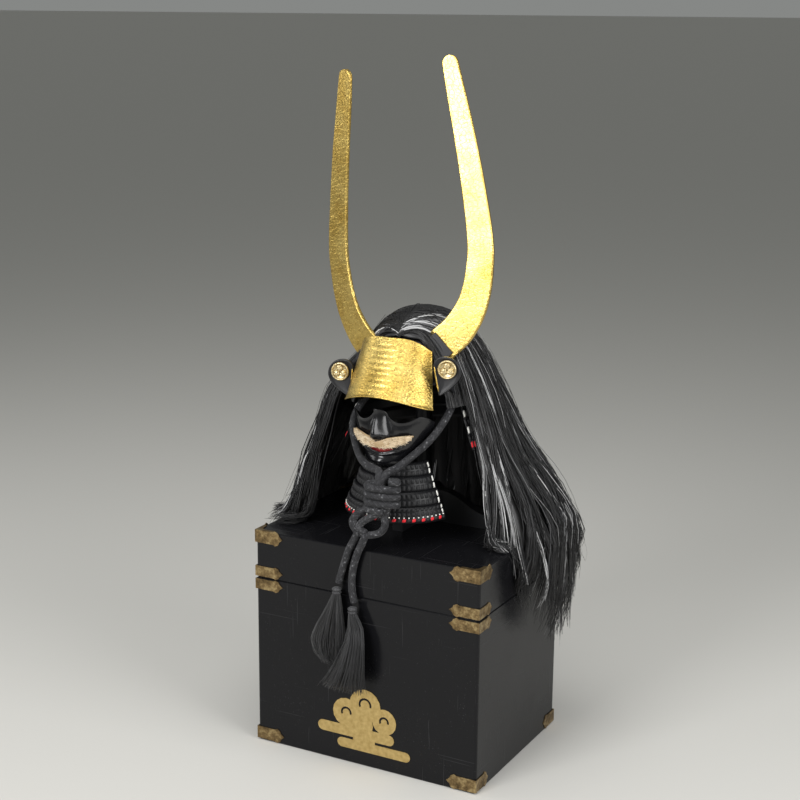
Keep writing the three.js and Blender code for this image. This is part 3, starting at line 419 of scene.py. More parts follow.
for side, rows in TASSEL_SKIRTS.items():
    top = cord_pieces["cord_end_" + side][1][-1] + np.array([0, -6.5, -6.5]) * MM
    rows = np.array(rows, float) * MM
    collar = [
        ring_mesh("collar", top + np.array([0, 0, -2.0 * MM]), 6.6 * MM, 1.8 * MM),
        ring_mesh("collar", top + np.array([0, 0, -7.6 * MM]), 6.4 * MM, 1.6 * MM),
        grid_mesh("neck", [
            [top + np.array([r * math.cos(a), r * math.sin(a), -z]) * MM
             for a in np.linspace(0, 2 * math.pi, 20, endpoint=False)]
            for z, r in ((-1, 3.5), (0, 6.2), (4.8, 5.2), (9, 6.4), (12, 5.5))
        ], around=True, ends=True),
    ]
    count, along = 480, 12
    share = np.linspace(0, 1, along)[None, :]
    reach = 0.86 + 0.16 * RNG.random((count, 1))
    down = share * reach * rows[-1, 0]
    angle = RNG.random((count, 1)) * 2 * math.pi
    depth = np.sqrt(RNG.random((count, 1)))
    lock = np.sin(angle * 9) * 0.09
    across = np.interp(down, rows[:, 0], rows[:, 3])
    deep = np.minimum(across, 8.5 * MM)
    x = np.interp(down, rows[:, 0], rows[:, 1]) + across * (depth + lock * share) * np.cos(angle)
    y = np.interp(down, rows[:, 0], rows[:, 2]) + deep * depth * np.sin(angle)
    sway = RNG.normal(0, 2.2 * MM, (count, 1)) * share**2
    wave = 1.2 * MM * np.sin(share * RNG.uniform(4, 9, (count, 1)) + RNG.random((count, 1)) * 6) * share
    paths = np.stack([x + sway + wave, y, -down + 0 * x],
        axis=-1) + top + np.array([0, 0, -TASSEL_COLLAR * MM])
    bright = np.clip(RNG.normal(0.18, 0.28, (count, 1)), 0, 1) * (1 - 0.45 * share)
    skirt = threads("skirt", paths, 0.55 * MM, thread_finish, bright, tip=0.6)
    for mesh in collar:
        mesh.attributes.new("tone", "FLOAT", "POINT").data.foreach_set(
            "value", np.full(len(mesh.vertices), 0.5, np.float32))
    piece("tassel_" + side + "_collar", joined("collar", collar), thread_finish)
    piece("tassel_" + side + "_skirt", skirt, thread_finish, ["tassel_" + side])

# ---- Helmet bowl and neck guard --------------------------------------------------------------
# A lacquered iron bowl, and a neck guard of four curved lames hung from it, each laced to the next
# in close rows of black silk braid with a red and white knot at its front corners.
HELMET = Matrix.Translation((0.005, 0.038, 0.668)) @ Matrix.Rotation(math.radians(-3.5), 4, "Y")
BOWL_HALF = (96, 111, 115)
HEM_HALF = (150, 162)
HEM_DROP = 110


def placed(matrix, points):
    """Points (any shape x 3, in mm) moved by a matrix into the object's frame, in metres."""
    turn = np.array(matrix.to_3x3())
    return np.asarray(points, float) * MM @ turn.T + np.array(matrix.translation)


def cover(turn, down, lift):
    """A point over the bowl (down 0 to 1) and the neck guard (1 to 2), in the helmet's frame, in mm."""
    turn, down, lift = np.broadcast_arrays(np.radians(np.asarray(turn, float)), down, lift)
    fall = np.minimum(down, 1) * math.pi / 2
    past = np.maximum(down - 1, 0)
    wide = (BOWL_HALF[0] + lift) * np.sin(fall) + (HEM_HALF[0] - BOWL_HALF[0]) * past
    deep = (BOWL_HALF[1] + lift) * np.sin(fall) + (HEM_HALF[1] - BOWL_HALF[1]) * past
    up = (BOWL_HALF[2] + lift) * np.cos(fall) - HEM_DROP * past
    return np.stack([wide * np.sin(turn), -deep * np.cos(turn), up], axis=-1)


def normals_of(points):
    """Unit normals of a grid of points (rows x columns x 3)."""
    down = np.gradient(points, axis=0)
    along = np.gradient(points, axis=1)
    found = np.cross(along, down)
    return found / np.maximum(np.linalg.norm(found, axis=-1, keepdims=True), 1e-12)


def shell(name, outer, thick):
    """A closed skin of even thickness behind a grid of points."""
    outer = np.asarray(outer, float)
    rows, columns = outer.shape[:2]
    normal = normals_of(outer)
    centre = outer.reshape(-1, 3).mean(axis=0)
    if ((outer - centre) * normal).sum() < 0:
        normal = -normal
    inner = outer - normal * thick
    count = rows * columns
    index = np.arange(count).reshape(rows, columns)
    quads = [np.stack([index[:-1, :-1], index[:-1, 1:], index[1:, 1:], index[1:, :-1]], -1).reshape(-1, 4)]
    quads.append(quads[0][:, ::-1] + count)
    for line in (index[0], index[-1], index[:, 0], index[:, -1]):
        quads.append(np.stack([line[:-1], line[1:], line[1:] + count, line[:-1] + count], -1))
    made = bpy.data.meshes.new(name)
    made.from_pydata([tuple(p) for p in np.vstack([outer.reshape(-1, 3), inner.reshape(-1, 3)])], [],
                     [tuple(int(i) for i in q) for q in np.vstack(quads)])
    face_out(made)
    made.shade_smooth()
    return made


def wear_group():
    """Handled black lacquer: dust, hairline scratches and rubbed patches, in metres."""
    made = bpy.data.node_groups.new("handled lacquer", "ShaderNodeTree")
    made.interface.new_socket("Roughness", in_out="INPUT", socket_type="NodeSocketFloat")
    made.interface.new_socket("Dust", in_out="INPUT", socket_type="NodeSocketFloat")
    for name in ("Roughness", "Dust", "Height"):
        made.interface.new_socket(name, in_out="OUTPUT", socket_type="NodeSocketFloat")
    given = node(made, "NodeGroupInput")
    place = node(made, "ShaderNodeTexCoord").outputs["Object"]
    cloud = node(made, "ShaderNodeTexNoise",
        {"Vector": place, "Scale": 9.0, "Detail": 6.0, "Roughness": 0.65})
    fine = node(made, "ShaderNodeTexNoise", {"Vector": place, "Scale": 260.0, "Detail": 2.0})
    specks = node(made, "ShaderNodeTexVoronoi", {"Vector": place, "Scale": 170.0})
    speck = grey(made, specks.outputs["Distance"], (0.05, 1.0), (0.11, 0.0))
    lines = []
    for turn, stretch in ((0.45, (5.0, 420.0, 380.0)), (-0.9, (400.0, 7.0, 360.0)),
        (1.9, (380.0, 420.0, 9.0))):
        turned = node(made, "ShaderNodeMapping",
            {"Vector": place, "Rotation": (turn, turn * 0.7, turn * 1.3),
                "Scale": stretch})
        streak = node(made, "ShaderNodeTexNoise",
            {"Vector": turned.outputs[0], "Scale": 1.0, "Detail": 1.0})
        lines.append(grey(made, streak.outputs["Fac"], (0.735, 0.0), (0.76, 1.0)))
    first = node(made, "ShaderNodeMath", {0: lines[0], 1: lines[1]}, operation="MAXIMUM")
    scratches = node(made, "ShaderNodeMath", {0: first.outputs[0], 1: lines[2]}, operation="MAXIMUM")
    rubbed = grey(made, cloud.outputs["Fac"], (0.35, 0.0), (0.75, 1.0))
    rough = node(made, "ShaderNodeMath", {0: rubbed, 1: 0.16, 2: given.outputs["Roughness"]},
        operation="MULTIPLY_ADD")
    rougher = node(made, "ShaderNodeMath", {0: scratches.outputs[0], 1: 0.18, 2: rough.outputs[0]},
        operation="MULTIPLY_ADD")
    grime = node(made, "ShaderNodeMath",
        {0: speck, 1: grey(made, cloud.outputs["Fac"], (0.5, 0.0), (0.62, 1.0))}, operation="MULTIPLY")
    dusty = node(made, "ShaderNodeMath", {0: scratches.outputs[0], 1: 0.16, 2: grime.outputs[0]},
        operation="MULTIPLY_ADD")
    dust = node(made, "ShaderNodeMath", {0: dusty.outputs[0], 1: given.outputs["Dust"]},
        operation="MULTIPLY")
    depth = node(made, "ShaderNodeMath", {0: scratches.outputs[0], 1: -0.6, 2: fine.outputs["Fac"]},
        operation="MULTIPLY_ADD")
    node(made, "NodeGroupOutput",
        {"Roughness": rougher.outputs[0], "Dust": dust.outputs[0], "Height": depth.outputs[0]})
    return made


handled = wear_group()


def lacquer(name, colour, roughness, dust, relief=0.05, gloss=0.2):
    """A lacquered surface with its own wear."""
    made, tree, bsdf = material(name, Specular_IOR_Level=gloss)
    wear = node(tree, "ShaderNodeGroup", node_tree=handled)
    wear.inputs["Roughness"].default_value = roughness
    wear.inputs["Dust"].default_value = dust
    tree.links.new(ramp(tree, wear.outputs["Dust"], (0.0, colour), (1.0, (0.11, 0.11, 0.115))),
        bsdf.inputs["Base Color"])
    tree.links.new(wear.outputs["Roughness"], bsdf.inputs["Roughness"])
    bump(tree, bsdf, wear.outputs["Height"], relief * MM)
    return made


bowl_finish = lacquer("bowl lacquer", (0.006, 0.006, 0.007), 0.22, 0.5, gloss=0.4)
bowl_rows = cover(np.linspace(0, 360, 129)[None, :], np.linspace(0.001, 1, 40)[:, None], 0)
bowl = grid_mesh("bowl", np.vstack([
    placed(HELMET, bowl_rows),
    placed(HELMET, bowl_rows[::-1] * np.array([0.974, 0.977, 0.978])),
]), smooth=True)
work = bmesh.new()
work.from_mesh(bowl)
bmesh.ops.remove_doubles(work, verts=work.verts, dist=2e-5)
work.to_mesh(bowl)
work.free()
face_out(bowl)
piece("bowl", bowl, bowl_finish, ["helmet_bowl"])

lacing_finish, tree, bsdf = material("silk lacing", Roughness=0.5, Specular_IOR_Level=0.35)
hue = node(tree, "ShaderNodeAttribute", attribute_name="dye").outputs["Color"]
place = node(tree, "ShaderNodeTexCoord").outputs["Object"]
silk = node(tree, "ShaderNodeTexNoise", {"Vector": place, "Scale": 1500.0, "Detail": 2.0}).outputs["Fac"]
soft = grey(tree, silk, (0.3, 0.6), (0.72, 1.5))
dyed = node(tree, "ShaderNodeMix", {"Factor": 1.0, "A": hue, "B": soft}, data_type="RGBA",
    blend_type="MULTIPLY")
tree.links.new(dyed.outputs[2], bsdf.inputs["Base Color"])
bump(tree, bsdf, silk, 0.3 * MM)
bsdf.inputs["Sheen Weight"].default_value = 0.05

lame_finish = lacquer("lame lacquer", (0.008, 0.008, 0.009), 0.25, 0.6)
BLACK, WHITE, RED = (0.007, 0.007, 0.008), (0.72, 0.71, 0.67), (0.62, 0.012, 0.02)


def braid_tiles(name, surface, tiles):
    """Flat silk braids lying on a surface(u, v): each tile has its middle, half sizes, height and colour."""
    points, faces, colours = [], [], []
    across, up = np.meshgrid(np.linspace(-1, 1, 5), np.linspace(-1, 1, 5))
    dome = (1 - np.abs(across) ** 3.0) * (1 - np.abs(up) ** 4.0)
    edge = np.maximum(np.abs(across), np.abs(up)) > 0.99
    for u, v, half_u, half_v, height, slant, colour in tiles:
        base = len(points)
        at_u, at_v = u + half_u * (across + slant * up), v + half_v * up
        spot = surface(at_u, at_v)
        push = normals_of(spot)
        middle = surface(np.array([[u]]), np.array([[v]]))[0, 0]
        if (push[2, 2] * (middle - np.array([0.006, 0, middle[2]]))).sum() < 0:
            push = -push
        risen = spot + push * (height * dome - 0.35 * MM * edge)[..., None]
        points.extend(map(tuple, risen.reshape(-1, 3)))
        for j in range(4):
            for i in range(4):
                a = base + j * 5 + i
                faces.append((a, a + 1, a + 6, a + 5))
        under = len(points)
        points.extend(map(tuple, (spot - push * 0.5 * MM).reshape(-1, 3)[[0, 4, 24, 20]]))
        rim = [base + k for k in (0, 1, 2, 3, 4, 9, 14, 19, 24, 23, 22, 21, 20, 15, 10, 5)]
        for side, corner in enumerate((0, 4, 8, 12)):
            run = [rim[(corner + k) % 16] for k in range(5)]
            faces.append((under + side, *run, under + (side + 1) % 4))
        faces.append((under, under + 1, under + 2, under + 3))
        colours.extend([colour] * (25 + 4))
    made = bpy.data.meshes.new(name)
    made.from_pydata(points, [], faces)
    work = bmesh.new()
    work.from_mesh(made)
    bmesh.ops.recalc_face_normals(work, faces=work.faces)
    work.to_mesh(made)
    work.free()
    made.shade_smooth()
    dye = made.attributes.new("dye", "FLOAT_COLOR", "POINT")
    dye.data.foreach_set("color", np.array([(*c, 1) for c in colours], np.float32).ravel())
    return made


NECK_STEP = 2.6
NECK_FRONT = 62
for k in range(4):
    top, low = 1 + k / 4, min(1 + (k + 1) / 4 + 5 / HEM_DROP, 2.0)

    def neck(u, v, lift=2.5 - k * NECK_STEP, top=top, low=low):
        return placed(HELMET, cover(NECK_FRONT + u * (360 - 2 * NECK_FRONT), low + (top - low) * v, lift))

    u, v = np.meshgrid(np.linspace(0, 1, 90), np.linspace(0, 1, 5))
    lame = shell("neck lame", neck(u, v), 2 * MM)
    piece(f"neck_lame_{k + 1}", lame, lame_finish, [f"neck_guard_lame_{k + 1}"])
    columns = 84 + 4 * k
    tiles = []
    for i in range(columns):
        for row in range(2):
            tint = WHITE if i in (0, columns - 1) and row == 0 else BLACK
            red = i in (1, columns - 2) and row == 0 and k == 3
            tiles.append(((i + 0.5) / columns, 0.3 + 0.42 * row, 0.42 / columns, 0.19, 1.1 * MM,
                0.25 * (-1) ** row, RED if red or (tint == WHITE and k == 3) else tint))
    piece(f"neck_lacing_{k + 1}", braid_tiles("neck lacing", neck, tiles), lacing_finish)

# ---- Brow plate ------------------------------------------------------------------------------
# A forehead plate of iron under gold leaf: a curved sheet with a rolled lower rim, and soft wrinkles
# beaten into its middle.
BROW = {
    "bottom": (85, -175, 50, -5, 23, -2), "top": (68, -111, 30, 86, 24, -10),
    "wrap": 76, "lean": 3,
}


def brow(u, v, out=0.0):
    """The brow plate's face, in the helmet's frame, in mm."""
    wrap = math.radians(BROW["wrap"])
    angle = (2 * u - 1) * wrap
    side = np.sin(angle) / math.sin(wrap)
    back = (1 - np.cos(angle)) / (1 - math.cos(wrap))
    low, high = BROW["bottom"], BROW["top"]
    mix = [a + v * (b - a) for a, b in zip(low, high)]
    return np.stack([
        mix[5] + mix[0] * side + out * np.sin(angle),
        mix[1] + mix[2] * back - out * np.cos(angle),
        (low[3] - low[4] * side**2) * (1 - v) + (high[3] - high[4] * side**4) * v,
    ], axis=-1)


def leaf_group():
    """Gold leaf over lacquer: crinkles, fine cracks between leaves, and brown where it is rubbed thin."""
    made = bpy.data.node_groups.new("gold leaf", "ShaderNodeTree")
    made.interface.new_socket("Grain", in_out="INPUT", socket_type="NodeSocketFloat")
    made.interface.new_socket("Rubbed", in_out="INPUT", socket_type="NodeSocketFloat")
    made.interface.new_socket("Color", in_out="OUTPUT", socket_type="NodeSocketColor")
    made.interface.new_socket("Roughness", in_out="OUTPUT", socket_type="NodeSocketFloat")
    made.interface.new_socket("Height", in_out="OUTPUT", socket_type="NodeSocketFloat")
    given = node(made, "NodeGroupInput")
    place = node(made, "ShaderNodeTexCoord").outputs["Object"]
    spread = node(made, "ShaderNodeVectorMath", {0: place, "Scale": given.outputs["Grain"]},
        operation="SCALE").outputs[0]
    crinkle = node(made, "ShaderNodeTexNoise",
        {"Vector": spread, "Scale": 1.0, "Detail": 5.0, "Roughness": 0.62,
            "Distortion": 1.4}).outputs["Fac"]
    cells = node(made, "ShaderNodeTexVoronoi", {"Vector": spread, "Scale": 0.55},
        feature="DISTANCE_TO_EDGE").outputs["Distance"]
    creases = grey(made, cells, (0.0, 0.0), (0.09, 1.0))
    long_way = node(made, "ShaderNodeMapping",
        {"Vector": place, "Rotation": (0.0, 0.35, 0.0), "Scale": (90.0, 90.0, 700.0)})
    brushed = node(made, "ShaderNodeTexNoise",
        {"Vector": long_way.outputs[0], "Scale": 1.0, "Detail": 3.0}).outputs["Fac"]
    broad = node(made, "ShaderNodeTexNoise", {"Vector": place, "Scale": 24.0, "Detail": 3.0}).outputs["Fac"]
    thin = node(made, "ShaderNodeMath",
        {0: grey(made, crinkle, (0.30, 1.0), (0.52, 0.0)), 1: given.outputs["Rubbed"]},
        operation="MULTIPLY").outputs[0]
    gold = ramp(made, broad, (0.3, (0.58, 0.39, 0.09)), (0.7, (0.76, 0.57, 0.18)))
    aged = node(made, "ShaderNodeMix", {"Factor": thin, "A": gold, "B": (0.25, 0.13, 0.03, 1)},
        data_type="RGBA")
    rough = node(made, "ShaderNodeMath", {0: brushed, 1: 0.16, 2: 0.2}, operation="MULTIPLY_ADD").outputs[0]
    rougher = node(made, "ShaderNodeMath", {0: thin, 1: 0.2, 2: rough}, operation="MULTIPLY_ADD").outputs[0]
    raised = node(made, "ShaderNodeMath", {0: crinkle, 1: 1.2, 2: creases},
        operation="MULTIPLY_ADD").outputs[0]
    relief = node(made, "ShaderNodeMath", {0: brushed, 1: 0.45, 2: raised},
        operation="MULTIPLY_ADD").outputs[0]
    node(made, "NodeGroupOutput", {"Color": aged.outputs[2], "Roughness": rougher, "Height": relief})
    return made


leaf = leaf_group()


def gold_leaf(name, grain, rubbed, relief):
    made, tree, bsdf = material(name, Metallic=1.0)
    skin = node(tree, "ShaderNodeGroup", node_tree=leaf)
    skin.inputs["Grain"].default_value = grain
    skin.inputs["Rubbed"].default_value = rubbed
    tree.links.new(skin.outputs["Color"], bsdf.inputs["Base Color"])
    tree.links.new(skin.outputs["Roughness"], bsdf.inputs["Roughness"])
    bump(tree, bsdf, skin.outputs["Height"], relief * MM)
    return made


brow_gold = gold_leaf("brow gold leaf", 330.0, 0.55, 0.22)
BROW_FRAME = HELMET @ Matrix.Rotation(math.radians(BROW["lean"]), 4, "Y")
u, v = np.meshgrid(np.linspace(0, 1, 140), np.linspace(0, 1, 92))
angle = (2 * u - 1) * BROW["wrap"]
wrinkle = 0.85 * np.exp(-((angle - 2) / 17) ** 2) * np.sin(2 * math.pi
    * (v * 10.2 - 0.4 * (angle / 40) ** 2))
wrinkle *= np.clip((v - 0.06) / 0.1, 0, 1) * np.clip((0.95 - v) / 0.1, 0, 1)
rim = 1.5 * np.exp(-((v / 0.022) ** 2)) + 0.7 * np.exp(-(((1 - v) / 0.02) ** 2))
rim += 0.5 * np.exp(-(((1 - np.abs(2 * u - 1)) / 0.03) ** 2))
dents = np.array([[noise.noise(Vector((a * 5, b * 4, 1.7))) for a in u[0]] for b in v[:, 0]])
face = placed(BROW_FRAME, brow(u, v, wrinkle + rim + 0.35 * dents))
piece("brow", shell("brow", face, 2 * MM), brow_gold, ["brow_plate"])

# ---- Turned-back plates ----------------------------------------------------------------------
# At each side the neck guard's top lame turns back in a satin black plate, lined with gold along
# its inner edge, and carries a gilt medallion of three petals on a dark dish.
satin_finish = lacquer("satin black", (0.012, 0.012, 0.014), 0.3, 0.5, gloss=0.45)
medal_finish, tree, bsdf = material("pale gilt", Metallic=0.9)
place = node(tree, "ShaderNodeTexCoord").outputs["Object"]
patina = node(tree, "ShaderNodeTexNoise",
    {"Vector": place, "Scale": 420.0, "Detail": 5.0, "Roughness": 0.7}).outputs["Fac"]
tree.links.new(ramp(tree, patina, (0.3, (0.28, 0.2, 0.09)), (0.52, (0.62, 0.5, 0.27)),
    (0.7, (0.85, 0.77, 0.52))),
    bsdf.inputs["Base Color"])
tree.links.new(grey(tree, patina, (0.3, 0.5), (0.7, 0.26)), bsdf.inputs["Roughness"])
bump(tree, bsdf, patina, 0.25 * MM)

PLATE = {"head": 22, "tail": 45}
PLATE_PLACE = (105, -112, 29)
PLATE_UNEVEN = 7
PLATE_SWING = 12


def bezier(a, b, c, d, count):
    t = np.linspace(0, 1, count, endpoint=False)[:, None]
    a, b, c, d = (np.array(p, float) for p in (a, b, c, d))
    return a * (1 - t)**3 + 3 * b * t * (1 - t)**2 + 3 * c * t**2 * (1 - t) + d * t**3


def turnback_outline():
    """The plate's outline (x outwards, z up), in mm, with its inner edge last."""
    head, tail = PLATE["head"], PLATE["tail"]
    return np.vstack([
        bezier((-head - 2, 8), (-head + 1, head + 6), (head - 1, head + 5), (head + 1, -4), 22),
        bezier((head + 1, -4), (head + 1, -tail * 0.48), (head * 0.1, -tail * 0.8), (-head * 0.6, -tail),
            16),
        bezier((-head * 0.6, -tail), (-head * 0.72, -tail - 1.2), (-head * 0.79, -tail),
            (-head * 0.8, -tail + 3), 5),
        bezier((-head * 0.8, -tail + 3), (-head * 0.9, -tail * 0.6), (-head - 1, -tail * 0.1),
            (-head - 2, 8), 12),
    ])


def inset(outline, by):
    """A closed outline moved inwards."""
    along = np.roll(outline, -1, axis=0) - np.roll(outline, 1, axis=0)
    along /= np.linalg.norm(along, axis=1)[:, None]
    normal = np.stack([along[:, 1], -along[:, 0]], axis=1)
    if ((outline - outline.mean(axis=0)) * normal).sum() > 0:
        normal = -normal
    return outline + normal * by


for side_name, side in (("right", 1), ("left", -1)):
    holder = HELMET @ Matrix.Translation(
        Vector((side * PLATE_PLACE[0], PLATE_PLACE[1], PLATE_PLACE[2] + side * PLATE_UNEVEN)) * MM)
    holder = holder @ Matrix.Rotation(math.radians(PLATE_SWING), 4, "Z")
    outline = turnback_outline()
    rows = []
    # From the plate's dished middle, over its rolled edge, to its flat back.
    for by, y in ((16, 2.2), (12, 2.0), (7, 1.6), (4.2, 1.2), (2.6, 0.2), (1.2, -0.4), (0.3, 0.4), (0, 1.8),
        (0, 5.2), (0.6, 6.4), (2, 7.0), (16, 7.0)):
        ring = inset(outline, min(by, 9)) if by < 16 else outline * 0.05 + np.array([0, -4.0])
        rows.append(np.stack([ring[:, 0] * side, np.full(len(ring), y, float), ring[:, 1]], axis=1))
    plate_mesh = grid_mesh("turnback", placed(holder, rows), around=True, ends=True)
    stem_front = [(-12, 4, -18), (-9, 4, -18), (-9, 4, 6), (-12, 4, 6)]
    stem_front = placed(holder, np.array(stem_front, float) * np.array([side, 1, 1]))
    turn = NECK_FRONT if side > 0 else 360 - NECK_FRONT
    stem_back = placed(HELMET, np.array([cover(turn + 0.5 * side, down, lift) for down, lift in
                                         ((1.25, 0.6), (1.25, 2.4), (1.06, 2.4), (1.06, 0.6))]))
    steps = np.linspace(0, 1, 9)[:, None, None]
    stem_rows = stem_front[None] * (1 - steps) + stem_back[None] * steps
    stem_mesh = grid_mesh("stem", stem_rows, around=True, ends=True, smooth=False)
    piece(f"turnback_{side_name}_plate", joined("turnback", [plate_mesh, stem_mesh]), satin_finish,
        [f"turnback_{side_name}"])
    edge = inset(outline, 1.4)[44:55]
    lining = smooth_path(
        placed(holder, np.stack([edge[:, 0] * side, np.full(len(edge), -0.1), edge[:, 1]], axis=1)),
        1.2 * MM)
    strip_side, strip_up = frames_along(lining)
    ring = np.linspace(0, 2 * math.pi, 8, endpoint=False)
    swell = np.minimum(1,
        0.35 + 6 * np.minimum(np.linspace(0, 1, len(lining)), 1 - np.linspace(0, 1, len(lining))))
    lining_rows = lining[:, None, :] + swell[:, None, None] * 1.25 * MM * (
        strip_side[:, None] * np.cos(ring)[None, :, None] + strip_up[:, None] * np.sin(ring)[None, :, None])
    piece(f"turnback_{side_name}_lining", grid_mesh("lining", lining_rows, around=True, ends=True),
        brow_gold)

    around = np.linspace(0, 2 * math.pi, 64, endpoint=False)
    dish = []
    for r, y in ((0.5, -1.2), (6, -1.2), (12.2, -1.5), (12.9, -2.2), (13.4, -3.3), (14.3, -3.9),
        (15.2, -3.6), (16.1, -2.4), (16.5, -1.0), (16.5, -0.3), (0.5, -0.3)):
        knurl = 0.18 * np.cos(around * 32) * (13.2 < r < 16.3)
        dish.append(np.stack(
            [(r + knurl) * np.cos(around), np.full(64, y, float), (r + knurl) * np.sin(around)], axis=1))
    medal = [grid_mesh("dish", placed(holder, dish), around=True, ends=True)]
    for k in range(3):
        turned = math.pi / 2 + 2 * math.pi * k / 3
        petal = []
        for r, y in ((0.2, -4.6), (1.2, -4.9), (2.4, -4.5), (3.6, -4.6), (4.8, -4.1), (5.6, -3.0),
            (5.9, -1.4)):
            ruffle = 0.5 * np.cos(around * 7 + k) * (r / 5.9) ** 2
            petal.append(np.stack([
                6.5 * math.cos(turned) + (r + ruffle) * np.cos(around),
                y - 0.4 * np.cos(around * 5 + k) * (r > 3),
                6.5 * math.sin(turned) + (r + ruffle) * np.sin(around),
            ], axis=1))
        medal.append(grid_mesh("petal", placed(holder, petal), around=True, ends=True))
    piece(f"medallion_{side_name}_boss", joined("medallion", medal), medal_finish,
        [f"medallion_{side_name}"])

# ---- Horns -----------------------------------------------------------------------------------
# Two tall flat horns of light wood under gold leaf, 7.5 mm thick with softened edges. Each root is
# held in a black socket on the bowl's side.
HORN_SECTIONS = [
    (62, 74, 60), (84, 98, 59), (116, 119, 55), (150, 131, 51), (190, 137, 48), (235, 138, 46),
    (310, 128, 42), (400, 112, 38), (480, 95, 33), (532, 84, 28),
]
HORN_MOUNTS = {
    "right": {"side": 1, "lean": 5, "tilt": 0, "seat": 9, "splay": 8},
    "left": {"side": -1, "lean": -4, "tilt": 0.7, "seat": -7, "splay": 19},
}
HORN_THICK = 7.5
HORN_SEAT = (74, -58, 62)
HORN_ROOT = 14
# Both horns carry rubbed gold leaf; the left's heavier rubbing, which makes it browner, is painted shade for
# the horn turned from the light.
right_gold = gold_leaf("horn gold leaf", 210.0, 0.4, 0.1)
shaded_horn_gold = gold_leaf("worn gold leaf with painted shade", 240.0, 0.85, 0.18)

sections = np.array(HORN_SECTIONS, float)
middle = smooth_path(np.stack([sections[:, 1], 0 * sections[:, 0], sections[:, 0]], axis=1), 7.0)
along = np.gradient(middle, axis=0)
along /= np.linalg.norm(along, axis=1)[:, None]
half = np.interp(middle[:, 2], sections[:, 0], sections[:, 2]) / 2
middle = np.vstack([middle[0] - along[0] * HORN_ROOT, middle])
along = np.vstack([along[0], along])
half = np.append(half[0], half)
tip_turns = np.radians([25, 45, 60, 72, 81, 87])
middle = np.vstack([middle, middle[-1] + along[-1] * half[-1] * 0.9 * np.sin(tip_turns)[:, None]])
half = np.append(half, half[-1] * np.cos(tip_turns))
along = np.vstack([along, np.repeat(along[-1:], len(tip_turns), axis=0)])
aside = np.stack([along[:, 2], 0 * half, -along[:, 0]], axis=1)
EDGE = 1.6
profile = []
for corner_x, corner_y, start in ((1, 1, 0), (-1, 1, 90), (-1, -1, 180), (1, -1, 270)):
    for step in (0, 30, 60, 90):
        a = math.radians(start + step)
        profile.append((corner_x, corner_y, math.cos(a), math.sin(a)))
    if (corner_x, corner_y) in ((1, 1), (-1, -1)):
        flat = np.linspace(0.92, -0.92, 8) * corner_x
        profile.extend((f, corner_y, 0.0, 1.0 * corner_y) for f in flat)
for name, place in HORN_MOUNTS.items():
    side = place["side"]
    seat = Vector((side * HORN_SEAT[0], HORN_SEAT[1], HORN_SEAT[2] + place["seat"]))
    mount = HELMET @ Matrix.Translation(seat * MM)
    mount = mount @ Matrix.Rotation(math.radians(-place["lean"]), 4, "X")
    mount = mount @ Matrix.Rotation(math.radians(place["tilt"]), 4, "Y")
    mount = mount @ Matrix.Rotation(math.radians(side * place["splay"]), 4, "Z")
    rows = []
    for point, across, wide in zip(middle, aside, half):
        soft = min(EDGE, wide * 0.5)
        ring = []
        for cx, cy, ox, oy in profile:
            if abs(cx) == 1:
                u = cx * (wide - soft) + soft * ox
                y = cy * (HORN_THICK / 2 - EDGE) + EDGE * oy
            else:
                u = cx * (wide - soft)
                y = cy * HORN_THICK / 2
            ring.append(point + across * u + np.array([0, y, 0]))
        rows.append(ring)
    rows = (np.array(rows) - np.array([HORN_SEAT[0], 0, HORN_SEAT[2]])) * np.array([side, 1, 1])
    uneven = np.array([
        [0.35 * noise.noise(Vector(p) * 0.022 + Vector((side * 3, 0, 0))) for p in ring]
        for ring in rows])
    rows[..., 1] += uneven
    horn_mesh = grid_mesh("horn", placed(mount, rows), around=True, ends=True)
    piece(f"horn_{name}_board", horn_mesh, right_gold if side > 0 else shaded_horn_gold,
        [f"horn_{name}"])

# ---- Face guard ------------------------------------------------------------------------------
# A half mask of iron under glossy black lacquer, red inside its mouth, carried on a short arm from
# the stand's post.
mask_finish = lacquer("mask lacquer", (0.005, 0.005, 0.006), 0.12, 0.35, relief=0.03, gloss=0.5)


def dressed(names, finish):
    """Gives carried-over CAD nodes their finish."""
    for name in names:
        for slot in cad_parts[name].material_slots:
            slot.material = finish


MASK_SECTIONS = np.array([
    (533, 30, 64, 0, 10),
    (541, 41, 80, 0, 10),
    (550, 48, 83, 0, 10),
    (560, 55, 76, 0, 10),
    (566, 58, 80, 0, 12),
    (576, 63, 80, 0, 14),
    (586, 68, 78, 4, 15),
    (592, 70, 77, 27, 15),
    (600, 73, 77, 28, 13),
    (612, 77, 77, 24, 9),
    (626, 79, 74, 21, 7),
    (645, 79, 71, 24, 6),
], float)
MASK_EDGES = np.array([
    (0, 533, 645),
    (6, 533, 641),
    (12, 534, 625),
    (24, 537, 617),
    (38, 545, 619),
    (52, 556, 628),
    (66, 567, 624),
    (82, 580, 612),
], float)
MOUTH_UP, MOUTH_HALF, MOUTH_TALL = 571, 27, 6
MASK_X, MASK_AXIS = 5, -45


def read_soft(table, at, column):
    """A column of a table read at places between its rows, with its corners rounded."""
    reach = (table[-1, 0] - table[0, 0]) * 0.035
    order = np.argsort(table[:, 0])
    return sum(np.interp(at + shift * reach, table[order, 0], table[order, column]) * weight
               for shift, weight in ((-2, 0.1), (-1, 0.24), (0, 0.32), (1, 0.24), (2, 0.1)))


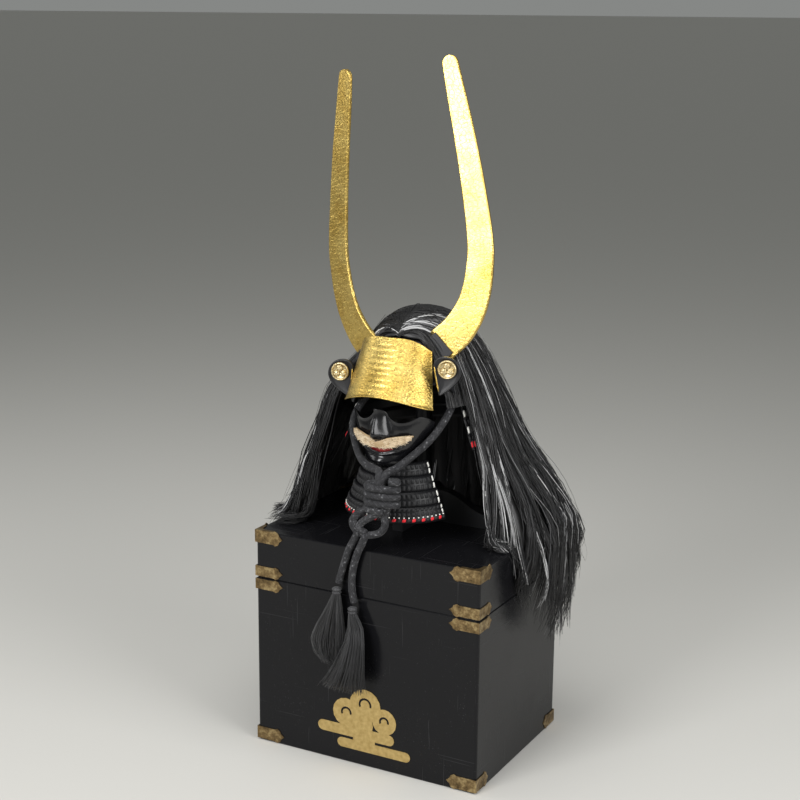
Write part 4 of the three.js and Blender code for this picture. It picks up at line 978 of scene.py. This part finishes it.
def mask_place(u, v):
    angle = (2 * u - 1) * 82
    low, high = read_soft(MASK_EDGES, np.abs(angle), 1), read_soft(MASK_EDGES, np.abs(angle), 2)
    z = low + v * (high - low)
    turn = np.radians(angle)
    x = read_soft(MASK_SECTIONS, z, 1) * np.sin(turn)
    ridge = read_soft(MASK_SECTIONS, z, 3) * np.exp(-((x / read_soft(MASK_SECTIONS, z, 4)) ** 2))
    across = np.sqrt((x / MOUTH_HALF) ** 2 + ((z - MOUTH_UP) / (MOUTH_TALL * 1.25)) ** 2)
    lip = 2.4 * np.exp(-(((across - 1.3) / 0.22) ** 2))
    chin = 3.0 * np.exp(-((x / 13) ** 2) - ((z - 549) / 9) ** 2)
    fold = -1.5 * np.exp(-(((np.abs(x) - 17 - 0.55 * (600 - z)) / 3.2) ** 2)) * np.exp(
        -(((z - 588) / 16) ** 2))
    cheek = 2.2 * np.exp(-(((np.abs(x) - 40) / 14) ** 2) - ((z - 602) / 12) ** 2)
    nostril = -2.5 * np.exp(-(((np.abs(x) - 7) / 2.6) ** 2) - ((z - 594) / 2.6) ** 2)
    rolled = 1.5 * np.exp(-(((1 - v) / 0.045) ** 2)) + 1.0 * np.exp(-((v / 0.05) ** 2))
    out = ridge + lip + chin + fold + cheek + nostril + rolled
    y = MASK_AXIS - read_soft(MASK_SECTIONS, z, 2) * np.cos(turn) ** 0.8 - out * np.cos(turn) ** 0.3
    return np.stack([MASK_X + x + 0.4 * out * np.sin(turn), y, z], axis=-1) * MM


def mask_skin(name, thick):
    """The face guard's skin with its mouth cut out."""
    u, v = np.meshgrid(np.linspace(0.004, 0.996, 130), np.linspace(0, 1, 84))
    points = mask_place(u, v)
    made = grid_mesh(name, points)
    work = bmesh.new()
    work.from_mesh(made)
    gone = []
    for face in work.faces:
        c = face.calc_center_median() / MM
        x, up = c.x - MASK_X, c.z - MOUTH_UP
        if abs(x) < MOUTH_HALF and abs(up) < MOUTH_TALL * (1 - (x / MOUTH_HALF) ** 2):
            gone.append(face)
    bmesh.ops.delete(work, geom=gone, context="FACES")
    work.to_mesh(made)
    work.free()
    holder = bpy.data.objects.new(name, made)
    bpy.context.scene.collection.objects.link(holder)
    wall = holder.modifiers.new("wall", "SOLIDIFY")
    wall.thickness = thick
    wall.offset = -1 if made.polygons[0].normal.y < 0 else 1
    graph = bpy.context.evaluated_depsgraph_get()
    whole = bpy.data.meshes.new_from_object(holder.evaluated_get(graph), depsgraph=graph)
    bpy.data.objects.remove(holder)
    whole.shade_smooth()
    return whole


piece("face_guard", mask_skin("face guard", 2 * MM), mask_finish, ["face_mask"])
red_finish, tree, bsdf = material("red lacquer", Roughness=0.3)
place = node(tree, "ShaderNodeTexCoord").outputs["Object"]
patch = node(tree, "ShaderNodeTexNoise", {"Vector": place, "Scale": 60.0, "Detail": 4.0}).outputs["Fac"]
tree.links.new(ramp(tree, patch, (0.3, (0.14, 0.004, 0.006)), (0.7, (0.33, 0.012, 0.014))),
    bsdf.inputs["Base Color"])
u, v = np.meshgrid(np.linspace(0.3, 0.7, 50), np.linspace(0.12, 0.62, 30))
lining = mask_place(u, v) * np.array([0.93, 1, 1]) + np.array([0.0004, 3.6 * MM, 0])
piece("face_guard_lining", shell("lining", lining, 0.6 * MM), red_finish)

# ---- Moustache -------------------------------------------------------------------------------
# A strip of cream bristle is set above the mouth, fuller at each side and swept up to its tips.
bristle_finish, tree, bsdf = material("cream bristle", Roughness=0.6)
tone = node(tree, "ShaderNodeAttribute", attribute_name="tone").outputs["Fac"]
tree.links.new(ramp(tree, tone, (0.0, (0.40, 0.28, 0.15)), (0.6, (0.72, 0.58, 0.39)),
    (1.0, (0.86, 0.75, 0.57))),
    bsdf.inputs["Base Color"])
count, along_hair = 1200, 5
start_x = RNG.uniform(-54, 54, (count, 1))
share = np.linspace(0, 1, along_hair)[None, :]
taper_x = np.clip((57 - np.abs(start_x)) / 17, 0.15, 1)
lift = np.interp(np.abs(start_x), [0, 12, 28, 44, 56], [-1, 0, 3, 9, 12])
offset = RNG.uniform(-1, 1, (count, 1)) * 7.0 * taper_x
x = start_x + np.sign(start_x) * share * 8 * RNG.uniform(0.5, 1.1, (count, 1))
x = np.clip(x, -56, 56)
z = 583 + lift + offset + share * (2.5 - 6.5 * RNG.random((count, 1)))
moustache_paths = np.stack([MASK_X + x, 0 * x, z], axis=-1) * MM
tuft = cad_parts["moustache"]
tuft_points = np.array([tuft.matrix_world @ corner.co for corner in tuft.data.vertices])
tuft_x = np.linspace(tuft_points[:, 0].min() + 0.002, tuft_points[:, 0].max() - 0.002, 25)
tuft_front = [tuft_points[np.abs(tuft_points[:, 0] - x) < 0.009][:, 1].min() for x in tuft_x]
surface_y = np.interp(moustache_paths[..., 0], tuft_x, tuft_front)
moustache_paths[..., 1] = surface_y + (2.2 - 2.6 * share * RNG.random((count, 1))) * MM
bristles = threads("bristles", moustache_paths, 0.42 * MM, bristle_finish,
                   np.clip(RNG.normal(0.6, 0.25, (count, 1)), 0, 1) + 0 * share, tip=0.4)
piece("moustache_bristles", bristles, bristle_finish)
dressed(["moustache"], bristle_finish)

# ---- Throat guard ----------------------------------------------------------------------------
# Four curved lames hang below the chin, laced like the neck guard; the last has red and white ties
# and a black lacquer rim.
THROAT = {"x": 7, "axis": -45, "top": 547, "pitch": 24.5, "height": 28}
for k in range(4):
    low = THROAT["top"] - THROAT["pitch"] * k - THROAT["height"]

    def throat(u, v, k=k, low=low):
        z = low + THROAT["height"] * v * (0.96 if k else 0.88)
        down = (THROAT["top"] - z) / 98
        turn = np.radians((2 * u - 1) * 78)
        wide, deep = 60 + 32 * down + 2.5 * k, 66 + 22 * down + 2.5 * k
        return np.stack([
            THROAT["x"] + wide * np.sin(turn), THROAT["axis"] - deep * np.cos(turn), z + 0 * u,
        ], axis=-1) * MM

    u, v = np.meshgrid(np.linspace(0, 1, 60), np.linspace(0, 1, 5))
    piece(f"throat_lame_{k + 1}", shell("throat lame", throat(u, v), 2 * MM), lame_finish,
          [f"throat_guard_lame_{k + 1}"])
    columns = 22 + 3 * k
    tiles = []
    rows = [(0.3, 0.19, 0.44), (0.72, 0.19, 0.44)] if k < 3 else [(0.2, 0.11, 0.42), (0.56, 0.13, 0.44),
        (0.84, 0.12, 0.44)]
    for i in range(columns):
        for row, (middle_v, half_v, half_u) in enumerate(rows):
            colour = WHITE if i in (0, columns - 1) else BLACK
            if k == 3 and row == 0:
                colour = RED if i % 2 else BLACK
            width = 0.22 if colour == WHITE else half_u
            tiles.append(((i + 0.5) / columns, middle_v, width / columns, half_v, 1.3 * MM,
                0.2 * (-1) ** row, colour))
        if k == 3:
            tiles.append(((i + 0.5) / columns, 0.36, 0.17 / columns, 0.05, 1.5 * MM, 0, WHITE))
    piece(f"throat_lacing_{k + 1}", braid_tiles("throat lacing", throat, tiles), lacing_finish)

# ---- Chest -----------------------------------------------------------------------------------
# A helmet chest of thin wooden boards under glossy black lacquer. Its deep lid lifts off, and the
# helmet's stand rests on top.
chest_finish = lacquer("chest lacquer", (0.006, 0.006, 0.007), 0.13, 0.8, relief=0.03)
dressed(["chest_body", "chest_lid"], chest_finish)

# ---- Stand and horn sockets ------------------------------------------------------------------
# Two crossed boards, a post and a head block of black lacquered wood carry the helmet, and an arm
# carries the face guard. The horns' sockets on the bowl are satin black.
stand_finish = lacquer("stand lacquer", (0.009, 0.009, 0.01), 0.3, 0.4)
dressed(["stand_foot", "stand_post", "mask_bracket", "stand_head"], stand_finish)
dressed(["horn_socket_right", "horn_socket_left"], satin_finish)

# ---- Chest fittings --------------------------------------------------------------------------
# Sheet brass, chased and darkened with age, is folded over every corner of the lid and the body
# and nailed on.
brass_finish, tree, bsdf = material("aged brass", Metallic=1.0)
place = node(tree, "ShaderNodeTexCoord").outputs["Object"]
patina = node(tree, "ShaderNodeTexNoise",
    {"Vector": place, "Scale": 70.0, "Detail": 7.0, "Roughness": 0.7}).outputs["Fac"]
chased = node(tree, "ShaderNodeTexVoronoi", {"Vector": place, "Scale": 210.0},
    feature="SMOOTH_F1").outputs["Distance"]
tree.links.new(ramp(tree, patina, (0.3, (0.05, 0.035, 0.018)), (0.5, (0.22, 0.15, 0.07)),
    (0.68, (0.5, 0.38, 0.19))),
    bsdf.inputs["Base Color"])
tree.links.new(grey(tree, patina, (0.3, 0.62), (0.7, 0.3)), bsdf.inputs["Roughness"])
mixed_height = node(tree, "ShaderNodeMath", {0: chased, 1: 1.6, 2: patina},
    operation="MULTIPLY_ADD").outputs[0]
bump(tree, bsdf, mixed_height, 0.6 * MM)
dressed([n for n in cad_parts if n.startswith(("lid_", "body_"))], brass_finish)

# ---- Chest ornament --------------------------------------------------------------------------
# A plain auspicious cloud in flat gold paint, brushed over the lacquer in the middle of the
# chest's front.
paint_finish, tree, bsdf = material("gold paint", Metallic=0.75)
place = node(tree, "ShaderNodeTexCoord").outputs["Object"]
brushing = node(tree, "ShaderNodeTexNoise", {"Vector": place, "Scale": 120.0, "Detail": 5.0}).outputs["Fac"]
tree.links.new(ramp(tree, brushing, (0.3, (0.42, 0.29, 0.1)), (0.7, (0.6, 0.44, 0.18))),
    bsdf.inputs["Base Color"])
tree.links.new(grey(tree, brushing, (0.3, 0.5), (0.7, 0.34)), bsdf.inputs["Roughness"])
bump(tree, bsdf, brushing, 0.08 * MM)
dressed(["chest_ornament"], paint_finish)

# ---- Hair ------------------------------------------------------------------------------------
# Long black horse hair mixed with white, fixed in locks to the bowl. It covers the crown and falls
# on three sides over the chest.
hair_finish, tree, bsdf = material("horse hair", Roughness=0.42)
tone = node(tree, "ShaderNodeAttribute", attribute_name="tone").outputs["Fac"]
tree.links.new(ramp(tree, tone, (0.0, (0.006, 0.006, 0.007)), (0.45, (0.014, 0.0135, 0.0135)),
    (0.7, (0.14, 0.14, 0.145)), (1.0, (0.68, 0.68, 0.68))), bsdf.inputs["Base Color"])

LID = 400
HAIR_LOCKS = np.array([
    (66, 136, 168, 205, 222, 404), (75, 136, 171, 238, 232, 318), (84, 136, 173, 250, 246, 262),
    (93, 136, 172, 262, 250, 216), (102, 136, 174, 262, 252, 198), (111, 138, 176, 266, 270, 300),
    (120, 138, 176, 268, 276, 342), (130, 140, 177, 256, 262, 352), (141, 142, 178, 240, 244, 300),
    (152, 144, 179, 226, 228, 272), (163, 145, 180, 216, 218, 290), (174, 145, 180, 210, 214, 262),
    (185, 145, 180, 210, 216, 284), (196, 145, 180, 214, 220, 266), (207, 144, 180, 226, 230, 296),
    (218, 144, 180, 238, 246, 320), (229, 146, 181, 256, 262, 340), (240, 148, 182, 274, 276, 356),
    (251, 150, 182, 250, 256, 330), (262, 152, 183, 246, 252, 344), (273, 155, 184, 244, 248, 366),
    (283, 160, 186, 236, 262, 404), (291, 163, 188, 236, 268, 404), (299, 163, 188, 234, 272, 404),
    (306, 154, 176, 206, 262, 404),
], float)
HAIR_LIFT = 12
HAIR_AXIS = (5, 38)
CHEST_HALF = (224, 170)


def lock_points(turn):
    """The control points of a hanging lock at a turn round the helmet, in mm; turn may be an array."""
    brow, neck_out, lid, end, hem = (
        np.interp(turn, HAIR_LOCKS[:, 0], HAIR_LOCKS[:, k]) for k in range(1, 6))
    a = np.radians(turn)
    top = placed(HELMET, cover(turn, 0.7, HAIR_LIFT - 3)) / MM

    def at(radius, z):
        return np.stack([
            HAIR_AXIS[0] + radius * np.sin(a), HAIR_AXIS[1] - radius * np.cos(a), z + 0 * a,
        ], axis=-1)

    hangs = hem < LID
    crown = placed(HELMET, cover(turn, 0.35, HAIR_LIFT - 4)) / MM
    return np.stack([
        crown, top, at(brow, 645), at(neck_out, 560), at(lid * 0.55 + neck_out * 0.45, 490),
        at(lid, np.where(hangs, LID + 14, LID + 20)),
        np.where(hangs[:, None], at((lid + end) / 2 + 8, (LID + hem) / 2), at((lid + end) / 2, LID + 9)),
        np.where(hangs[:, None], at(end, hem), at(end, LID + 5)),
    ], axis=1)


def eased(points, count):
    """Smooth curves (curves x count x 3) through control points (curves x n x 3)."""
    n = points.shape[1]
    padded = np.concatenate(
        [2 * points[:, :1] - points[:, 1:2], points, 2 * points[:, -1:] - points[:, -2:-1]], axis=1)
    places = np.linspace(0, n - 1.0001, count)
    out = []
    for place in places:
        i = int(place)
        t = place - i
        a, b, c, d = (padded[:, i + j] for j in range(4))
        out.append(0.5 * (2 * b + (c - a) * t + (2 * a - 5 * b + 4 * c - d) * t**2
            + (3 * b - a - 3 * c + d) * t**3))
    return np.stack(out, axis=1)


STREAKS = ((64, 75), (96, 99), (293, 299))
HAIR_ROOM = ((0, -249, 272), (1, -400, 257))
ROOM_EDGE, ROOM_SOFT = 12, 15


def hang(name, first, last, count, per_clump, thick, pale, spread, wave=13, steps=14):
    """Hair between two turns, gathered in clumps that wave and part more toward their ends."""
    clumps = max(3, count // per_clump)
    clump_turn = np.sort(RNG.uniform(first, last, clumps))
    centre = eased(lock_points(clump_turn), steps)
    share = np.linspace(0, 1, steps)[None, :, None]
    phase, rate = RNG.random((clumps, 1, 3)) * 6.28, RNG.uniform(7, 15, (clumps, 1, 3))
    centre = centre + np.sin(phase + rate * share) * np.sin(0.5 * math.pi * share) ** 1.5 * np.array(
        [wave, wave, wave * 0.4])
    owner = RNG.integers(0, clumps, count)
    paths = centre[owner]
    fan = RNG.normal(0, 1, (count, 1, 3)) * np.array([spread, spread, spread * 0.35])
    loose = RNG.normal(0, 1, (count, 1, 3)) * 3.2 * share**2
    gather = 1 - 0.3 * np.sin(math.pi * share) ** 2
    wobble = 1.6 * np.sin(RNG.random((count, 1, 3)) * 6.28 + RNG.uniform(6, 14, (count, 1, 3))
        * share) * share
    paths = paths + fan * gather * (0.5 + 0.7 * share) + loose + wobble
    trim = 0.72 + 0.28 * RNG.random((count, 1)) ** 0.5
    run = np.linspace(0, 1, steps)[None, :] * trim
    index = run * (steps - 1)
    low = np.minimum(index.astype(int), steps - 2)
    part = (index - low)[..., None]
    rows = np.arange(count)[:, None]
    paths = paths[rows, low] * (1 - part) + paths[rows, low + 1] * part
    over_chest = (np.abs(paths[..., 0]) < CHEST_HALF[0]) & (np.abs(paths[..., 1]) < CHEST_HALF[1])
    inside = over_chest & (paths[..., 2] < LID + 3)
    paths[..., 2] = np.where(inside & (paths[..., 2] > LID - 40), LID + 3 + 0 * paths[..., 2],
        paths[..., 2])
    inside = over_chest & (paths[..., 2] < LID - 1)
    push_x = np.sign(paths[..., 0]) * (CHEST_HALF[0] + 1)
    push_y = np.sign(paths[..., 1]) * (CHEST_HALF[1] + 1)
    nearer_x = CHEST_HALF[0] - np.abs(paths[..., 0]) < CHEST_HALF[1] - np.abs(paths[..., 1])
    paths[..., 0] = np.where(inside & nearer_x, push_x, paths[..., 0])
    paths[..., 1] = np.where(inside & ~nearer_x, push_y, paths[..., 1])
    streaked = np.any([(clump_turn > a) & (clump_turn < b) for a, b in STREAKS],
        axis=0) & (RNG.random(clumps) < 0.75)
    clump_pale = ((RNG.random(clumps) < pale) | streaked) * RNG.uniform(0.5, 1.0, clumps)
    tones = np.clip(RNG.normal(0.22, 0.16, count), 0, 0.5)
    white = RNG.random(count) < 0.12 + 0.6 * clump_pale[owner]
    tones = np.where(white & (clump_pale[owner] > 0), RNG.uniform(0.65, 1.0, count), tones)
    # The hair keeps to the room that the locks have round the chest.
    for axis, low, high in HAIR_ROOM:
        over = np.maximum(paths[..., axis] - high + ROOM_EDGE, 0)
        under = np.maximum(low + ROOM_EDGE - paths[..., axis], 0)
        eased_over = ROOM_SOFT * np.tanh(over / ROOM_SOFT)
        eased_under = ROOM_SOFT * np.tanh(under / ROOM_SOFT)
        paths[..., axis] += eased_over - over - eased_under + under
    return threads(name, paths * MM, thick, hair_finish, tones[:, None], tip=0.3)


for name, first, last, count, pale in (
    ("hair_right", 63, 132, 1750, 0.05),
    ("hair_back", 125, 240, 1750, 0.015),
    ("hair_left", 236, 306, 1500, 0.05),
):
    piece(name, hang(name, first, last, count, 20, 0.85 * MM, pale, 3.6), hair_finish,
          ["hair"] if name == "hair_back" else ())
piece("hair_loose", hang("hair_loose", 62, 308, 420, 2, 0.32 * MM, 0.2, 9.0, steps=18),
    hair_finish)

# Close under the strands lies the hair that is too dense to see through.
mat_turns = np.linspace(64, 306, 120)
mat_locks = eased(lock_points(mat_turns), 40)[:, 4:33]
ripple = 3.0 * np.sin(np.radians(mat_turns) * 37)[:, None] + 2.0 * np.sin(np.radians(mat_turns) * 81)[:,
    None]
away = mat_locks[..., :2] - np.array(HAIR_AXIS)
reach = np.linalg.norm(away, axis=-1, keepdims=True)
mat_locks[..., :2] -= away / reach * (9 + ripple[..., None])
over_lid = (np.abs(mat_locks[..., 0]) < CHEST_HALF[0]) & (np.abs(mat_locks[..., 1]) < CHEST_HALF[1])
mat_locks[..., 2] = np.where(over_lid, np.maximum(mat_locks[..., 2], LID + 3.5), mat_locks[..., 2])
under_mesh = shell("under hair", mat_locks * MM, 2 * MM)
strand_shade = np.abs(
    np.sin(np.radians(mat_turns)[:, None] * 190 + 0.2 * np.sin(np.arange(29) * 0.4)[None, :])) * 0.4
under_mesh.attributes.new("tone", "FLOAT", "POINT").data.foreach_set(
    "value", np.tile(strand_shade.ravel(), 2).astype(np.float32))
piece("hair_under", under_mesh, hair_finish)

# The crown hair is combed from the brow over the dome to the sides and back.
count, steps = 1600, 12
turn = RNG.uniform(48, 312, count)
root_down = np.where(RNG.random(count) < 0.5, RNG.uniform(-0.52, -0.38, count),
    RNG.uniform(-0.4, 0.35, count))
share = np.linspace(0, 1, steps)
root = cover(np.where(root_down < 0, 0, 180), np.abs(root_down), 7.0)
beyond = cover(turn, 1.32, 11.0)
line = root[:, None] * (1 - share[None, :, None]) + beyond[:, None] * share[None, :, None]
line[..., 2] = np.maximum(line[..., 2], 5) + 60 * np.sin(math.pi * share)[None, :]
scale = np.stack([line[..., 0] / (BOWL_HALF[0] + 8), line[..., 1] / (BOWL_HALF[1] + 8),
    np.maximum(line[..., 2], 0) / (BOWL_HALF[2] + 8)], -1)
size = np.linalg.norm(scale, axis=-1, keepdims=True)
on_dome = line / np.maximum(size, 1e-6)
weight = np.clip((share - 0.72) / 0.28, 0, 1)[None, :, None]
line = on_dome * (1 - weight) + beyond[:, None] * weight
clump = np.floor(turn / 9)
line = line * (1 + RNG.normal(0, 0.008, (count, 1, 1)))
line[..., 0] += (3.0 * np.sin(clump * 3.7)[:, None] + RNG.normal(0, 1.3, (count, 1))) * np.sin(math.pi
    * share)[None, :]
line[..., 1] += (3.0 * np.cos(clump * 5.1)[:, None] + RNG.normal(0, 1.3, (count, 1))) * np.sin(math.pi
    * share)[None, :]
streak = (root_down < -0.3) & (((turn > 70) & (turn < 122)) | ((turn > 286) & (turn < 296)))
tones = np.where(streak & (RNG.random(count) < 0.8), RNG.uniform(0.6, 1.0, count),
    np.clip(RNG.normal(0.2, 0.14, count), 0, 0.45))
piece("hair_crown",
    threads("hair_crown", placed(HELMET, line), 1.0 * MM, hair_finish, tones[:, None], tip=0.8),
    hair_finish)

cap_turn, cap_down = np.meshgrid(np.linspace(0, 360, 73), np.linspace(0.02, 1, 12))
edge_turn = np.minimum(cap_turn, 360 - cap_turn)
edge_down = np.interp(edge_turn, [0, 30, 48, 60, 72, 96, 180], [0.5, 0.55, 0.7, 0.9, 1.2, 1.6, 1.6])
cap_points = cover(cap_turn, cap_down * edge_down, 6.6)
mat_mesh = shell("hair mat", placed(HELMET, cap_points), 1.5 * MM)
mat_mesh.attributes.new("tone", "FLOAT", "POINT")
piece("hair_mat", mat_mesh, hair_finish)


# ---- Floor and light -------------------------------------------------------------------------
# A plain pale floor that runs out of sight, under soft studio light from the front, both sides and
# above.
floor_mesh = bpy.data.meshes.new("floor")
floor_mesh.from_pydata([(-800, -800, 0), (800, -800, 0), (800, 800, 0), (-800, 800, 0)], [], [(0, 1, 2, 3)])
floor = bpy.data.objects.new("floor", floor_mesh)
bpy.context.scene.collection.objects.link(floor)
floor_finish, tree, bsdf = material("pale floor", Roughness=0.7)
bsdf.inputs["Base Color"].default_value = (0.56, 0.55, 0.52, 1)
floor_mesh.materials.append(floor_finish)


def soft_light(name, azimuth, distance, height, width, tall, power):
    """A soft box facing the helmet: azimuth 0 is in front, positive to the viewer's right."""
    data = bpy.data.lights.new(name, "AREA")
    data.shape = "RECTANGLE"
    data.size, data.size_y, data.energy = width, tall, power
    light = bpy.data.objects.new(name, data)
    bpy.context.scene.collection.objects.link(light)
    a = math.radians(azimuth)
    light.location = (distance * math.sin(a), -distance * math.cos(a), height)
    light.rotation_mode = "QUATERNION"
    light.rotation_quaternion = (Vector((0, 0, 0.8)) - light.location).to_track_quat("-Z", "Y")
    return light


soft_light("key", -12, 3.0, 1.75, 1.3, 1.5, 72)
soft_light("side", 76, 2.4, 1.5, 1.6, 1.6, 50)
soft_light("left", -75, 3.0, 1.6, 1.2, 2.0, 16)
soft_light("top", 10, 0.6, 3.2, 2.4, 2.4, 45)

world = bpy.data.worlds.new("studio")
bpy.context.scene.world = world
world.use_nodes = True
world.node_tree.nodes["Background"].inputs["Color"].default_value = (0.33, 0.34, 0.33, 1)
world.node_tree.nodes["Background"].inputs["Strength"].default_value = 0.72
bpy.context.scene.view_settings.view_transform = "Standard"
